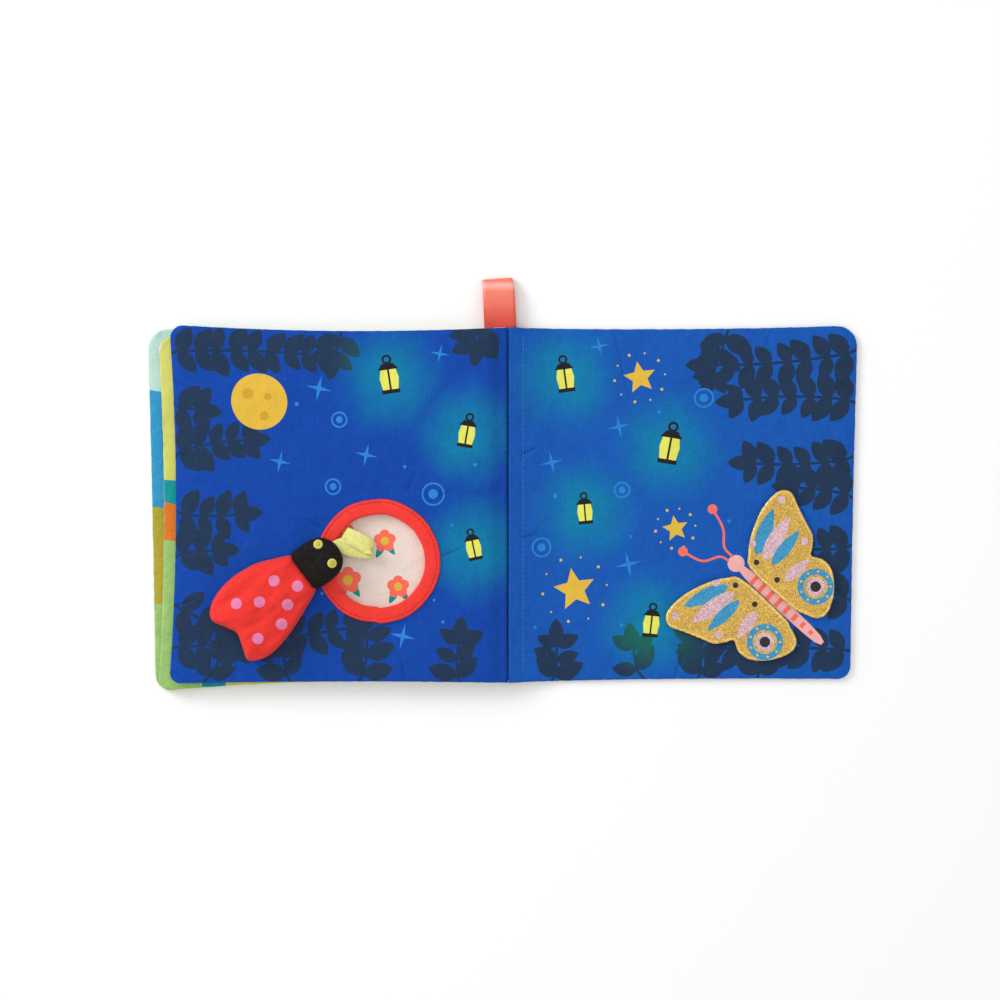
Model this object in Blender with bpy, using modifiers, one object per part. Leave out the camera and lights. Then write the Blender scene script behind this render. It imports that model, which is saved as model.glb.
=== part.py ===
"""A crinkle cloth book lying open, three padded leaves on the left and one on the right.

Metres, +X to the right page, +Y to the head of the page, +Z up. The origin is on the resting
plane under the fold, halfway up the page.
"""

import math
from collections import namedtuple

import bmesh
import bpy
from mathutils import Vector

# Cloth and clearances
CLOTH = 0.0005
FILM = 0.0003
GAP = 0.0003
RIBBON = 0.0006
MERGE_DISTANCE = 0.00003
CUT_OVERRUN = 0.001

# Padded leaves
LEAF_WIDTH = 0.201
LEAF_HEIGHT = 0.2115
LEAF_CORNER_RADIUS = 0.007
LEAF_CROWN = 0.00155
LEAF_RISE_WIDTH = 0.026
FLAT_DEPTH = 0.0005
SPINE_MARGIN = 0.0055
WADDING_INSET = 0.014
FOLD_GAP = 0.0009
LEAF_SHIFT = 0.00585
RIGHT_LEAF_START = 0.005
TOP_DRAW_IN = 0.0032
BOTTOM_DRAW_IN = 0.001
SIDE_DRAW_IN = 0.0034
# Share of LEAF_RISE_WIDTH in from the edge, share of the crown's height there
RISE_SHARES = ((0, 0), (0.03, 0.15), (0.15, 0.55), (0.46, 0.88), (1, 1))

# Window in the top leaf, and the binding round it
WINDOW_FROM_FOLD = 0.0778
WINDOW_BELOW_MIDDLE = 0.0333
WINDOW_RADIUS = 0.0277
BINDING_WIDTH = 0.0092
BINDING_WALL = 0.0009
BINDING_HALF_HEIGHT = 0.00215
BINDING_EDGE = 0.0006
CUT_CLEARANCE = 0.0008
PINCH_MARGIN = 0.0026
PINCH_RISE_WIDTH = 0.0125
PINCH_ROOM_SHARE = 0.8
# Share of PINCH_RISE_WIDTH out from the pinched ring, share of the crown's height there
PINCH_SHARES = ((1, 0.98), (0.5, 0.75), (0.2, 0.35), (0, 0))

# Spine tape, its upright allowance and the binding stitch
TAPE_LEFT_LAP_SHARE = 0.62
TAPE_RIGHT_LAP_SHARE = 1.05
TAPE_FROM_LEAF_END = 0.0045
ALLOWANCE_THICKNESS = 0.0009
ALLOWANCE_BELOW_FOLD = 0.00055
ALLOWANCE_FROM_LEAF_END = 0.0137
STITCH_FROM_LEAF = 0.0033
STITCH_FROM_LEAF_END = 0.0055
THREAD_RADIUS = 0.00022

# Hang loop
LOOP_RIBBON_WIDTH = 0.019
LOOP_LEFT_OF_FOLD = 0.0053
LOOP_OUT = 0.0305
LOOP_TAIL = 0.0095
LOOP_INNER_HEIGHT = 0.0056
LOOP_FLOOR_CLEARANCE = 0.0003
# Shares of LOOP_OUT where a strand is half way to its level and on it, and of the bend's radius
LOOP_HALF_WAY_SHARE = 0.16
LOOP_LEVEL_SHARE = 0.36
LOOP_CORNER_SHARE = 0.3

# Ladybird toy
TOY_BODY_LENGTH = 0.0595
TOY_BODY_HEIGHT = 0.015
TOY_HEAD_HEIGHT = 0.0125
TOY_HEAD_LENGTH = 0.0245
TOY_CLOTH = 0.0006
TOY_NECK_FROM_FOLD = 0.1229
TOY_NECK_BELOW_MIDDLE = 0.0402
TOY_TURN = math.radians(36.6)
TOY_PIVOT_BELOW_MIDDLE = 0.0165
TOY_PIVOT_ABOVE_LEAF = 0.0084
EYE_RADIUS = 0.0027
EYE_THICKNESS = 0.0005
# Shares of TOY_BODY_LENGTH: back along the body from the neck, and across it
BODY_OUTLINE_SHARES = (
    (0.0, -0.07), (0.02, -0.19), (0.13, -0.28), (0.34, -0.35), (0.59, -0.37), (0.80, -0.33),
    (0.94, -0.25), (0.99, -0.15), (0.92, -0.01), (0.87, 0.10), (0.91, 0.25), (0.94, 0.37),
    (0.84, 0.44), (0.70, 0.46), (0.52, 0.43), (0.31, 0.36), (0.12, 0.29), (0.02, 0.21), (0.0, 0.08),
)
# Shares of TOY_HEAD_LENGTH: forward from the neck, and across
HEAD_OUTLINE_SHARES = (
    (0.0, -0.20), (0.03, -0.48), (0.25, -0.53), (0.52, -0.52), (0.80, -0.42), (0.97, -0.18),
    (1.0, 0.06), (0.93, 0.32), (0.72, 0.51), (0.45, 0.56), (0.2, 0.55), (0.03, 0.49), (0.0, 0.20),
)
# Shares of the outline's spread and of the height, from the base up
DOME_SHARES = ((0.90, 0.0), (1.0, 0.26), (0.96, 0.56), (0.82, 0.82), (0.55, 0.96), (0.2, 1.0))
# Shares of TOY_HEAD_LENGTH: forward from the neck, and across
EYE_SHARES = {"ladybird_eye_upper": (0.68, -0.30), "ladybird_eye_lower": (0.68, 0.25)}

# Tether, a ribbon from the window's edge to the toy's head
TETHER_WIDTH = 0.0096
# Shares of WINDOW_RADIUS from the window's centre, and of TOY_BODY_HEIGHT above the leaf
TETHER_ROUTE_SHARES = (
    (-0.735, 0.585, -0.09), (-0.62, 0.53, 0.04), (-0.44, 0.45, 0.11), (-0.25, 0.34, 0.12),
    (-0.16, 0.26, 0.05), (-0.22, 0.22, -0.01), (-0.42, 0.24, 0.0),
)
# Shares of TETHER_WIDTH in front of the head and beside its middle, and of TOY_BODY_HEIGHT
TETHER_END_SHARES = ((0.64, 0.5, 0.07), (0.375, 0.156, 0.14))
TETHER_START_TURN = math.radians(51)
TETHER_END_TURN = math.radians(118)

# Butterfly wings on the right page
WING_LENGTH = 0.0595
WING_HEAD_FROM_FOLD = 0.1398
WING_HEAD_BELOW_MIDDLE = 0.0398
WING_TURN = math.radians(-42.5)
WING_HINGE_OFFSET = 0.0039
# Shares of WING_LENGTH: along the body from the head end, and out from the hinge line
WING_OUTLINE_SHARES = (
    (0.05, 0.0), (-0.09, 0.10), (-0.20, 0.27), (-0.29, 0.53), (-0.29, 0.76), (-0.19, 0.84),
    (-0.03, 0.78), (0.13, 0.72), (0.26, 0.67), (0.34, 0.58), (0.39, 0.51), (0.50, 0.56),
    (0.64, 0.54), (0.79, 0.41), (0.89, 0.22), (0.86, 0.09), (0.72, 0.03), (0.60, 0.0),
)

# Counts
LEAF_SIDE_POINTS = 5
WINDOW_SIDE_POINTS = 8
CORNER_POINTS = 4
RING_STEPS = 36
EYE_POINTS = 18
OUTLINE_STEPS = 2
TETHER_STEPS = 3

# Levels that follow from the sizes above
HALF_MARGIN = CLOTH + GAP / 2
HALF_LEAF = HALF_MARGIN + LEAF_CROWN
COVER_MID = HALF_LEAF - FLAT_DEPTH
LEAF_PITCH = 2 * HALF_LEAF + GAP
LEFT_TOP = COVER_MID + 2 * LEAF_PITCH + HALF_LEAF
RIGHT_TOP = COVER_MID + HALF_LEAF
FOLD_HEIGHT = (LEFT_TOP + RIGHT_TOP + GAP) / 2
MARGIN_RISE_SHARE = RISE_SHARES[1][1]
WINDOW_CENTRE = Vector((-WINDOW_FROM_FOLD, -WINDOW_BELOW_MIDDLE))
BINDING_RADIUS = WINDOW_RADIUS + BINDING_WIDTH
CUT_RADIUS = WINDOW_RADIUS + BINDING_WALL + CUT_CLEARANCE
PINCH_RADIUS = BINDING_RADIUS + PINCH_MARGIN

# side: -1 left, 1 right of the fold. start: from the fold to the leaf's inner edge. middle: height
# of the leaf's middle. rise_share: how far the outer edge sits up the page, of the leaf's height.
# lean_share: how far the head of that edge leans out, of the leaf's width. rests: it lies on the
# resting plane.
Leaf = namedtuple("Leaf", "side start middle rise_share lean_share rests")
LEAVES = {
    "front_cover": Leaf(-1, FOLD_GAP + 2 * LEAF_SHIFT, COVER_MID, -0.022, 0.012, True),
    "middle_leaf": Leaf(-1, FOLD_GAP + LEAF_SHIFT, COVER_MID + LEAF_PITCH, 0, 0, False),
    "window_leaf": Leaf(-1, FOLD_GAP, COVER_MID + 2 * LEAF_PITCH, 0.003, 0, False),
    "back_cover": Leaf(1, RIGHT_LEAF_START, COVER_MID, 0.008, 0.011, True),
}

# The tape fills the space between the resting plane and the leaves' thin margins
TAPE_THICKNESS = LEAF_CROWN * (1 - MARGIN_RISE_SHARE) - FLAT_DEPTH - GAP
TAPE_LEFT = LEAVES["front_cover"].start + TAPE_LEFT_LAP_SHARE * SPINE_MARGIN
TAPE_RIGHT = LEAVES["back_cover"].start + TAPE_RIGHT_LAP_SHARE * SPINE_MARGIN

CLOTH_COLOURS = {
    "front_cover_lower": (0.58, 0.82, 0.74), "front_cover_upper": (0.12, 0.42, 0.68),
    "middle_leaf_lower": (0.06, 0.45, 0.5), "middle_leaf_upper": (0.78, 0.72, 0.66),
    "window_leaf_lower": (0.45, 0.6, 0.22), "window_leaf_upper": (0.02, 0.08, 0.42),
    "back_cover_upper": (0.02, 0.08, 0.42), "back_cover_lower": (0.85, 0.72, 0.12),
}


def material(name, colour, roughness, metallic=0.0):
    made = bpy.data.materials.new(name)
    made.use_nodes = True
    shader = made.node_tree.nodes["Principled BSDF"]
    shader.inputs["Base Color"].default_value = (*colour, 1)
    shader.inputs["Roughness"].default_value = roughness
    shader.inputs["Metallic"].default_value = metallic
    made.diffuse_color = (*colour, 1)
    return made


def add_object(name, data, look):
    data.materials.append(look)
    obj = bpy.data.objects.new(name, data)
    parts.objects.link(obj)
    return obj


def hang_on(pivot, *pieces):
    """Parents pieces to a moving part's pivot, leaving them where they are."""
    bpy.context.view_layer.update()
    for piece in pieces:
        piece.parent = pivot
        piece.matrix_parent_inverse = pivot.matrix_world.inverted()


def pivot_at(name, place):
    pivot = bpy.data.objects.new(name, None)
    pivot.empty_display_size = SPINE_MARGIN
    pivot.location = place
    parts.objects.link(pivot)
    return pivot


def direction(angle):
    return Vector((math.cos(angle), math.sin(angle)))


def circle(radius, count):
    return [radius * direction(math.tau * i / count) for i in range(count)]


def curve_stretch(a, b, c, d, steps):
    """Points of a Catmull-Rom curve from b on, before c."""
    made = []
    for step in range(steps):
        t = step / steps
        square = (2 * a - 5 * b + 4 * c - d) * t**2
        cube = (3 * b - a - 3 * c + d) * t**3
        made.append((2 * b + (c - a) * t + square + cube) / 2)
    return made


def smooth_outline(points, steps):
    """A closed curve through points, with steps points for each of them."""
    points = [Vector(point) for point in points]
    around = [points[-1], *points, *points[:2]]
    stretches = zip(around, around[1:], around[2:], around[3:])
    return [point for ends in stretches for point in curve_stretch(*ends, steps)]


def smooth_route(points, steps):
    """An open curve through points."""
    ends = [points[0], *points, points[-1]]
    stretches = zip(ends, ends[1:], ends[2:], ends[3:])
    return [point for ends in stretches for point in curve_stretch(*ends, steps)] + [points[-1]]


def band_outline(route, thickness):
    """The outline of a band of this thickness along a route of 2D points."""
    left, right = [], []
    for i, point in enumerate(route):
        ahead = route[min(i + 1, len(route) - 1)] - route[max(i - 1, 0)]
        across = Vector((-ahead.y, ahead.x)).normalized() * thickness / 2
        left.append(point + across)
        right.append(point - across)
    return left + right[::-1]


def flat_piece(name, outlines, bottom, thickness, look):
    """A flat piece with these outlines, the later ones holes in the first."""
    curve = bpy.data.curves.new(name, "CURVE")
    curve.dimensions = "2D"
    curve.fill_mode = "BOTH"
    curve.extrude = thickness / 2
    for outline in outlines:
        spline = curve.splines.new("POLY")
        spline.points.add(len(outline) - 1)
        for point, place in zip(spline.points, outline):
            point.co = (place[0], place[1], 0, 1)
        spline.use_cyclic_u = True
    obj = add_object(name, curve, look)
    obj.location.z = bottom + thickness / 2
    return obj


def lofted(name, loops, look, cap_last=True, cap_first=False, facing=1):
    """A surface through loops of equally many 3D points, its last loop's side facing up or down."""
    shape = bmesh.new()
    rows = [[shape.verts.new(point) for point in loop] for loop in loops]
    for low, high in zip(rows, rows[1:]):
        for i in range(len(low)):
            j = (i + 1) % len(low)
            shape.faces.new((low[i], low[j], high[j], high[i]))
    if cap_last:
        shape.faces.new(rows[-1])
    if cap_first:
        shape.faces.new(rows[0][::-1])
    bmesh.ops.recalc_face_normals(shape, faces=shape.faces)
    shape.normal_update()
    up = sum(face.normal.z * face.calc_area() for face in shape.faces)
    if not cap_first and up * facing < 0:
        bmesh.ops.reverse_faces(shape, faces=shape.faces)
    mesh = bpy.data.meshes.new(name)
    shape.to_mesh(mesh)
    shape.free()
    mesh.shade_smooth()
    return add_object(name, mesh, look)


def thicken(obj, thickness):
    solid = obj.modifiers.new("cloth", "SOLIDIFY")
    solid.thickness = thickness
    solid.offset = -1


def leaf_place(leaf, out, up):
    """Where a point of the flat leaf lies: out from the leaf's inner edge, up from its middle."""
    out_share = out / LEAF_WIDTH
    up_share = 2 * up / LEAF_HEIGHT
    draw_in = SIDE_DRAW_IN * (1 - up_share**2) * out_share**2
    lean = leaf.lean_share * LEAF_WIDTH * up_share * out_share
    bow = 4 * out_share * (1 - out_share)
    edge_draw = TOP_DRAW_IN if up > 0 else BOTTOM_DRAW_IN
    sag = edge_draw * bow * up_share * abs(up_share)
    rise = leaf.rise_share * LEAF_HEIGHT * out_share
    return Vector((leaf.side * (leaf.start + out - draw_in + lean), up - sag + rise))


def leaf_loop(leaf, inset, spine_inset, side_points):
    """The leaf's rounded outline, drawn in by inset and on the spine's side by spine_inset."""
    low, high = spine_inset, LEAF_WIDTH - inset
    top = LEAF_HEIGHT / 2 - inset
    radius = max(LEAF_CORNER_RADIUS - inset, LEAF_CORNER_RADIUS / 2)
    centres = (
        (high - radius, top - radius), (low + radius, top - radius),
        (low + radius, radius - top), (high - radius, radius - top),
    )
    quarter = math.tau / 4
    corners = []
    for n, centre in enumerate(centres):
        turns = [quarter * (n + step / (CORNER_POINTS - 1)) for step in range(CORNER_POINTS)]
        corners.append([Vector(centre) + radius * direction(turn) for turn in turns])
    flat = []
    for corner, following in zip(corners, corners[1:] + corners[:1]):
        shares = [step / (side_points + 1) for step in range(1, side_points + 1)]
        flat += corner + [corner[-1].lerp(following[0], share) for share in shares]
    return [leaf_place(leaf, point.x, point.y) for point in flat]


def rise_loop(leaf, width_share, side_points):
    """The leaf's outline this share of the rise's width in from its edge."""
    inset = width_share * LEAF_RISE_WIDTH
    margin = SPINE_MARGIN if width_share else 0
    return leaf_loop(leaf, inset, margin + inset, side_points)


def window_ring(width_share):
    """A ring this share of the way out over the pinch, which narrows where the leaf has less room."""
    ring = []
    for point in rise_loop(LEAVES["window_leaf"], RISE_SHARES[-2][0], WINDOW_SIDE_POINTS):
        outward = point - WINDOW_CENTRE
        room = PINCH_ROOM_SHARE * (outward.length - PINCH_RADIUS)
        radius = PINCH_RADIUS + width_share * min(PINCH_RISE_WIDTH, room)
        ring.append(WINDOW_CENTRE + radius * outward.normalized())
    return ring


def leaf_cloth(name, facing):
    """One cloth of a leaf, crowned, facing up or down. A leaf that rests is flat underneath."""
    leaf = LEAVES[name]
    windowed = name == "window_leaf"
    points = WINDOW_SIDE_POINTS if windowed else LEAF_SIDE_POINTS
    rises = RISE_SHARES[:-1] if windowed else RISE_SHARES
    rows = [(rise_loop(leaf, width, points), crown_share) for width, crown_share in rises]
    if windowed:
        rows += [(window_ring(width), crown_share) for width, crown_share in PINCH_SHARES]
        outward = [(point - WINDOW_CENTRE).normalized() for point in rows[-1][0]]
        rows.append(([WINDOW_CENTRE + CUT_RADIUS * toward for toward in outward], 0))
    loops = []
    for row, crown_share in rows:
        rise = crown_share * LEAF_CROWN
        if leaf.rests and facing < 0:
            rise = min(rise, LEAF_CROWN - FLAT_DEPTH)
        height = leaf.middle + facing * (HALF_MARGIN + rise)
        loops.append([(point.x, point.y, height) for point in row])
    side = "upper" if facing > 0 else "lower"
    look = material(f"{name}_{side}_print", CLOTH_COLOURS[f"{name}_{side}"], 0.85)
    obj = lofted(f"{name}_{side}_cloth", loops, look, cap_last=not windowed, facing=facing)
    thicken(obj, CLOTH)
    return obj


def crown_share_at(inset):
    """The share of the crown's height at this distance in from a leaf's edge."""
    share = inset / LEAF_RISE_WIDTH
    for (near, low), (far, high) in zip(RISE_SHARES, RISE_SHARES[1:]):
        if share <= far:
            return low + (high - low) * (share - near) / (far - near)
    return 1


def leaf_filling(name):
    """The crinkle film and the wadding between a leaf's two cloths."""
    leaf = LEAVES[name]
    outline = leaf_loop(leaf, WADDING_INSET, SPINE_MARGIN + WADDING_INSET, LEAF_SIDE_POINTS)
    rise = crown_share_at(WADDING_INSET) * LEAF_CROWN
    lower_rise = min(rise, LEAF_CROWN - FLAT_DEPTH) if leaf.rests else rise
    film_bottom = leaf.middle + GAP / 2 + rise - GAP - FILM
    wadding_bottom = leaf.middle - GAP / 2 - lower_rise + GAP
    made = []
    for kind, bottom, top, look in (
        ("crinkle_film", film_bottom, film_bottom + FILM, film_look),
        ("wadding", wadding_bottom, film_bottom - GAP, wadding_look),
    ):
        piece = flat_piece(f"{name}_{kind}", [outline], bottom, top - bottom, look)
        if name == "window_leaf":
            hole_height = top - bottom + 2 * CUT_OVERRUN
            hole_name = f"{name}_{kind}_hole"
            hole = flat_piece(hole_name, [window_ring(1)], bottom - CUT_OVERRUN, hole_height, look)
            piece = as_mesh(piece)
            combine(piece, as_mesh(hole), "DIFFERENCE")
        made.append(piece)
    return made


def make_leaf(name):
    return [leaf_cloth(name, 1), leaf_cloth(name, -1), *leaf_filling(name)]


def window_binding():
    """The cloth binding that wraps the window's cut edge, a turned profile open to the outside."""
    inner = HALF_MARGIN + GAP
    wall = WINDOW_RADIUS + BINDING_WALL
    upper = [
        (WINDOW_RADIUS, BINDING_HALF_HEIGHT - 2 * BINDING_EDGE),
        (WINDOW_RADIUS + BINDING_EDGE, BINDING_HALF_HEIGHT),
        (BINDING_RADIUS - BINDING_EDGE, BINDING_HALF_HEIGHT),
        (BINDING_RADIUS, (BINDING_HALF_HEIGHT + inner) / 2),
        (BINDING_RADIUS - BINDING_EDGE, inner),
        (wall, inner),
    ]
    profile = upper + [(radius, -height) for radius, height in upper[::-1]]
    shape = bmesh.new()
    points = [shape.verts.new((radius, 0, height)) for radius, height in profile]
    for i, point in enumerate(points):
        shape.edges.new((point, points[(i + 1) % len(points)]))
    mesh = bpy.data.meshes.new("window_binding")
    shape.to_mesh(mesh)
    shape.free()
    obj = add_object("window_binding", mesh, material("red_binding", (0.85, 0.07, 0.06), 0.8))
    obj.location = (*WINDOW_CENTRE, LEAVES["window_leaf"].middle)
    turn = obj.modifiers.new("turn", "SCREW")
    turn.steps = RING_STEPS
    turn.render_steps = RING_STEPS
    turn.use_merge_vertices = True
    turn.merge_threshold = MERGE_DISTANCE
    return obj


def upright_piece(name, outline, length, look):
    """A piece with this outline in X and Z, running this far up the page about its middle."""
    obj = flat_piece(name, [outline], 0, length, look)
    obj.location = (0, 0, 0)
    obj.rotation_euler.x = math.radians(90)
    return as_mesh(obj)


def spine_tape():
    """The tape under the fold, with the two signatures' seam allowance standing on it."""
    half = ALLOWANCE_THICKNESS / 2
    top = FOLD_HEIGHT - ALLOWANCE_BELOW_FOLD
    foot = TAPE_THICKNESS / 2
    flat = [(-TAPE_LEFT, 0), (TAPE_RIGHT, 0)]
    flat += [(TAPE_RIGHT, TAPE_THICKNESS), (-TAPE_LEFT, TAPE_THICKNESS)]
    standing = [(-half, foot), (half, foot), (half, top), (-half, top)]
    look = material("spine_cotton", (0.8, 0.78, 0.7), 0.9)
    tape_length = LEAF_HEIGHT - 2 * TAPE_FROM_LEAF_END
    allowance_length = LEAF_HEIGHT - 2 * ALLOWANCE_FROM_LEAF_END
    tape = upright_piece("spine_tape", flat, tape_length, look)
    allowance = upright_piece("seam_allowance", standing, allowance_length, look)
    combine(tape, allowance, "UNION")


def as_mesh(curve_object):
    """The same piece as a mesh, its caps joined to its sides."""
    bpy.context.view_layer.update()
    graph = bpy.context.evaluated_depsgraph_get()
    mesh = bpy.data.meshes.new_from_object(curve_object.evaluated_get(graph))
    shape = bmesh.new()
    shape.from_mesh(mesh)
    bmesh.ops.remove_doubles(shape, verts=shape.verts, dist=MERGE_DISTANCE)
    bmesh.ops.recalc_face_normals(shape, faces=shape.faces)
    shape.to_mesh(mesh)
    shape.free()
    name, place = curve_object.name, curve_object.matrix_world.copy()
    bpy.data.objects.remove(curve_object)
    made = bpy.data.objects.new(name, mesh)
    made.matrix_world = place
    parts.objects.link(made)
    return made


def combine(obj, helper, operation):
    """Cuts the helper from a piece or joins it on, and keeps the helper with the cutters."""
    parts.objects.unlink(helper)
    cutters.objects.link(helper)
    helper.hide_render = True
    helper.display_type = "WIRE"
    change = obj.modifiers.new(helper.name, "BOOLEAN")
    change.operation = operation
    change.object = helper


def binding_stitch():
    """The thread line through the right leaf's margin and the tape under it."""
    curve = bpy.data.curves.new("binding_stitch", "CURVE")
    curve.dimensions = "3D"
    curve.bevel_depth = THREAD_RADIUS
    curve.bevel_resolution = 1
    curve.use_fill_caps = True
    spline = curve.splines.new("POLY")
    spline.points.add(1)
    page = COVER_MID + HALF_MARGIN + MARGIN_RISE_SHARE * LEAF_CROWN
    reach = LEAF_HEIGHT / 2 - STITCH_FROM_LEAF_END
    for point, end in zip(spline.points, (-1, 1)):
        point.co = (RIGHT_LEAF_START + STITCH_FROM_LEAF, end * reach, page + GAP + THREAD_RADIUS, 1)
    return add_object("binding_stitch", curve, material("light_thread", (0.7, 0.75, 0.85), 0.6))


def hang_loop():
    """The folded ribbon at the head of the spine, sewn in between the two lowest left leaves."""
    top = LEAF_HEIGHT / 2
    middle = COVER_MID + LEAF_PITCH / 2
    spread = (RIBBON + GAP) / 2
    low = LOOP_FLOOR_CLEARANCE + RIBBON / 2
    high = low + LOOP_INNER_HEIGHT + RIBBON
    end = top + LOOP_OUT - RIBBON / 2
    bend = (high - low) / 2
    corner = LOOP_CORNER_SHARE * bend
    half_way = top + LOOP_HALF_WAY_SHARE * LOOP_OUT
    level = top + LOOP_LEVEL_SHARE * LOOP_OUT
    route = [
        Vector((top - LOOP_TAIL, middle - spread)),
        Vector((top, middle - spread)),
        Vector((half_way, (middle + low) / 2)),
        Vector((level, low)),
        Vector((end - bend, low)),
        Vector((end - corner, low + corner)),
        Vector((end, low + bend)),
        Vector((end - corner, high - corner)),
        Vector((end - bend, high)),
        Vector((level, high)),
        Vector((half_way, (middle + high) / 2)),
        Vector((top, middle + spread)),
        Vector((top - LOOP_TAIL, middle + spread)),
    ]
    outline = band_outline(smooth_route(route, OUTLINE_STEPS), RIBBON)
    look = material("coral_satin", (0.85, 0.2, 0.14), 0.35)
    obj = flat_piece("hang_loop", [outline], 0, LOOP_RIBBON_WIDTH, look)
    obj.rotation_euler = (math.radians(90), 0, math.radians(90))
    obj.location = (-LOOP_LEFT_OF_FOLD, 0, 0)


def toy_place(along, across):
    """A point of the toy, along its body from the neck towards the tail, and across it."""
    forward = direction(TOY_TURN)
    sideways = Vector((forward.y, -forward.x))
    neck = Vector((-TOY_NECK_FROM_FOLD, -TOY_NECK_BELOW_MIDDLE))
    return neck - along * forward + across * sideways


def dome_loops(outline, base, height, inset):
    """Loops up a stuffed form over this outline, drawn in by inset all round."""
    centre = sum(outline, Vector((0, 0))) / len(outline)
    reach = min((point - centre).length for point in outline)
    scale = (reach - inset) / reach
    loops = []
    for spread_share, height_share in DOME_SHARES:
        level = base + height_share * height
        ring = [centre + (point - centre) * spread_share * scale for point in outline]
        loops.append([(point.x, point.y, level) for point in ring])
    return loops


def dome_height(share):
    """The share of a stuffed form's height at this share of the way out to its outline."""
    rising = DOME_SHARES[1:]
    for (wide, low), (narrow, high) in zip(rising, rising[1:]):
        if share >= narrow:
            return low + (high - low) * (wide - share) / (wide - narrow)
    return 1


def ladybird():
    """The soft toy: head, eyes, body cloth, underside and stuffing."""
    base = LEFT_TOP + GAP
    red = material("ladybird_red", (0.86, 0.05, 0.035), 0.85)
    black = material("ladybird_black", (0.02, 0.015, 0.013), 0.85)
    body = [
        toy_place(along * TOY_BODY_LENGTH, across * TOY_BODY_LENGTH)
        for along, across in smooth_outline(BODY_OUTLINE_SHARES, OUTLINE_STEPS)
    ]
    cover = lofted("ladybird_body_cloth", dome_loops(body, base, TOY_BODY_HEIGHT, 0), red)
    thicken(cover, TOY_CLOTH)
    layer = TOY_CLOTH + GAP
    room = dome_loops(body, base, TOY_BODY_HEIGHT, 2 * layer)
    underside_outline = [(x, y) for x, y, _ in room[0]]
    underside = flat_piece("ladybird_underside", [underside_outline], base, TOY_CLOTH, red)
    filling = dome_loops(body, base + layer, TOY_BODY_HEIGHT - 2 * layer, 3 * layer)
    stuffing = lofted("ladybird_stuffing", filling, wadding_look, cap_first=True)
    head_outline = [
        toy_place(-along * TOY_HEAD_LENGTH - TOY_CLOTH, across * TOY_HEAD_LENGTH)
        for along, across in smooth_outline(HEAD_OUTLINE_SHARES, OUTLINE_STEPS)
    ]
    head_loops = dome_loops(head_outline, base, TOY_HEAD_HEIGHT, 0)
    head = lofted("ladybird_head", head_loops, black, cap_first=True)
    eyes = [eye(name, head_outline, base) for name in EYE_SHARES]
    return [cover, underside, stuffing, head, *eyes]


def eye(name, outline, base):
    """An eye disc lying on the slope of the head."""
    along, across = EYE_SHARES[name]
    centre = sum(outline, Vector((0, 0))) / len(outline)
    place = toy_place(-along * TOY_HEAD_LENGTH, across * TOY_HEAD_LENGTH)
    outward = place - centre
    toward = outward.normalized()
    edge = max(outline, key=lambda point: (point - centre).normalized().dot(toward))
    reach = (edge - centre).length
    step = EYE_RADIUS / 2
    low = dome_height((outward.length + step) / reach) * TOY_HEAD_HEIGHT
    high = dome_height((outward.length - step) / reach) * TOY_HEAD_HEIGHT
    slope = math.atan2(high - low, 2 * step)
    normal = Vector((toward.x * math.sin(slope), toward.y * math.sin(slope), math.cos(slope)))
    surface = Vector((place.x, place.y, base + (high + low) / 2))
    obj = flat_piece(name, [circle(EYE_RADIUS, EYE_POINTS)], 0, EYE_THICKNESS, eye_look)
    obj.rotation_euler = normal.to_track_quat("Z", "Y").to_euler()
    obj.location = surface + normal * (2 * GAP + EYE_THICKNESS / 2)
    return obj


def tether_route():
    """The middle line of the tether, from the window's edge to in front of the toy's head."""
    places = [
        (*(WINDOW_CENTRE + WINDOW_RADIUS * Vector((across, up))), high)
        for across, up, high in TETHER_ROUTE_SHARES
    ]
    for ahead, beside, high in TETHER_END_SHARES:
        along = TOY_HEAD_LENGTH + TOY_CLOTH + ahead * TETHER_WIDTH
        places.append((*toy_place(-along, beside * TETHER_WIDTH), high))
    points = [Vector((x, y, LEFT_TOP + high * TOY_BODY_HEIGHT)) for x, y, high in places]
    return smooth_route(points, TETHER_STEPS)


def tether_ribbon():
    """The folded ribbon from the window's edge to the toy's head."""
    route = tether_route()
    loops = []
    for i, point in enumerate(route):
        ahead = (route[min(i + 1, len(route) - 1)] - route[max(i - 1, 0)]).normalized()
        share = i / (len(route) - 1)
        turn = TETHER_START_TURN + (TETHER_END_TURN - TETHER_START_TURN) * share
        across = direction(turn).to_3d()
        side = (across - ahead * across.dot(ahead)).normalized() * TETHER_WIDTH / 2
        thick = side.cross(ahead).normalized() * RIBBON / 2
        corners = (side + thick, thick - side, -side - thick, side - thick)
        loops.append([point + corner for corner in corners])
    look = material("lime_ribbon", (0.72, 0.72, 0.2), 0.6)
    return lofted("tether_ribbon", loops, look, cap_first=True)


def wing(name, mirror):
    """One wing, a face cloth over a backing cloth, hinged along the butterfly's body."""
    along = direction(WING_TURN)
    out = Vector((-along.y, along.x)) * mirror
    head = Vector((WING_HEAD_FROM_FOLD, -WING_HEAD_BELOW_MIDDLE))
    outline = [
        head + along * (s * WING_LENGTH) + out * (WING_HINGE_OFFSET + t * WING_LENGTH)
        for s, t in smooth_outline(WING_OUTLINE_SHARES, OUTLINE_STEPS)
    ]
    backing_bottom = RIGHT_TOP + GAP
    face_bottom = backing_bottom + CLOTH + GAP
    backing = flat_piece(f"{name}_backing", [outline], backing_bottom, CLOTH, wing_back_look)
    face = flat_piece(f"{name}_face", [outline], face_bottom, CLOTH, wing_face_look)
    hinge = head + out * WING_HINGE_OFFSET
    pivot = pivot_at(f"{name}_pivot", (hinge.x, hinge.y, face_bottom + CLOTH + GAP / 2))
    hang_on(pivot, backing, face)
    return pivot


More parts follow.
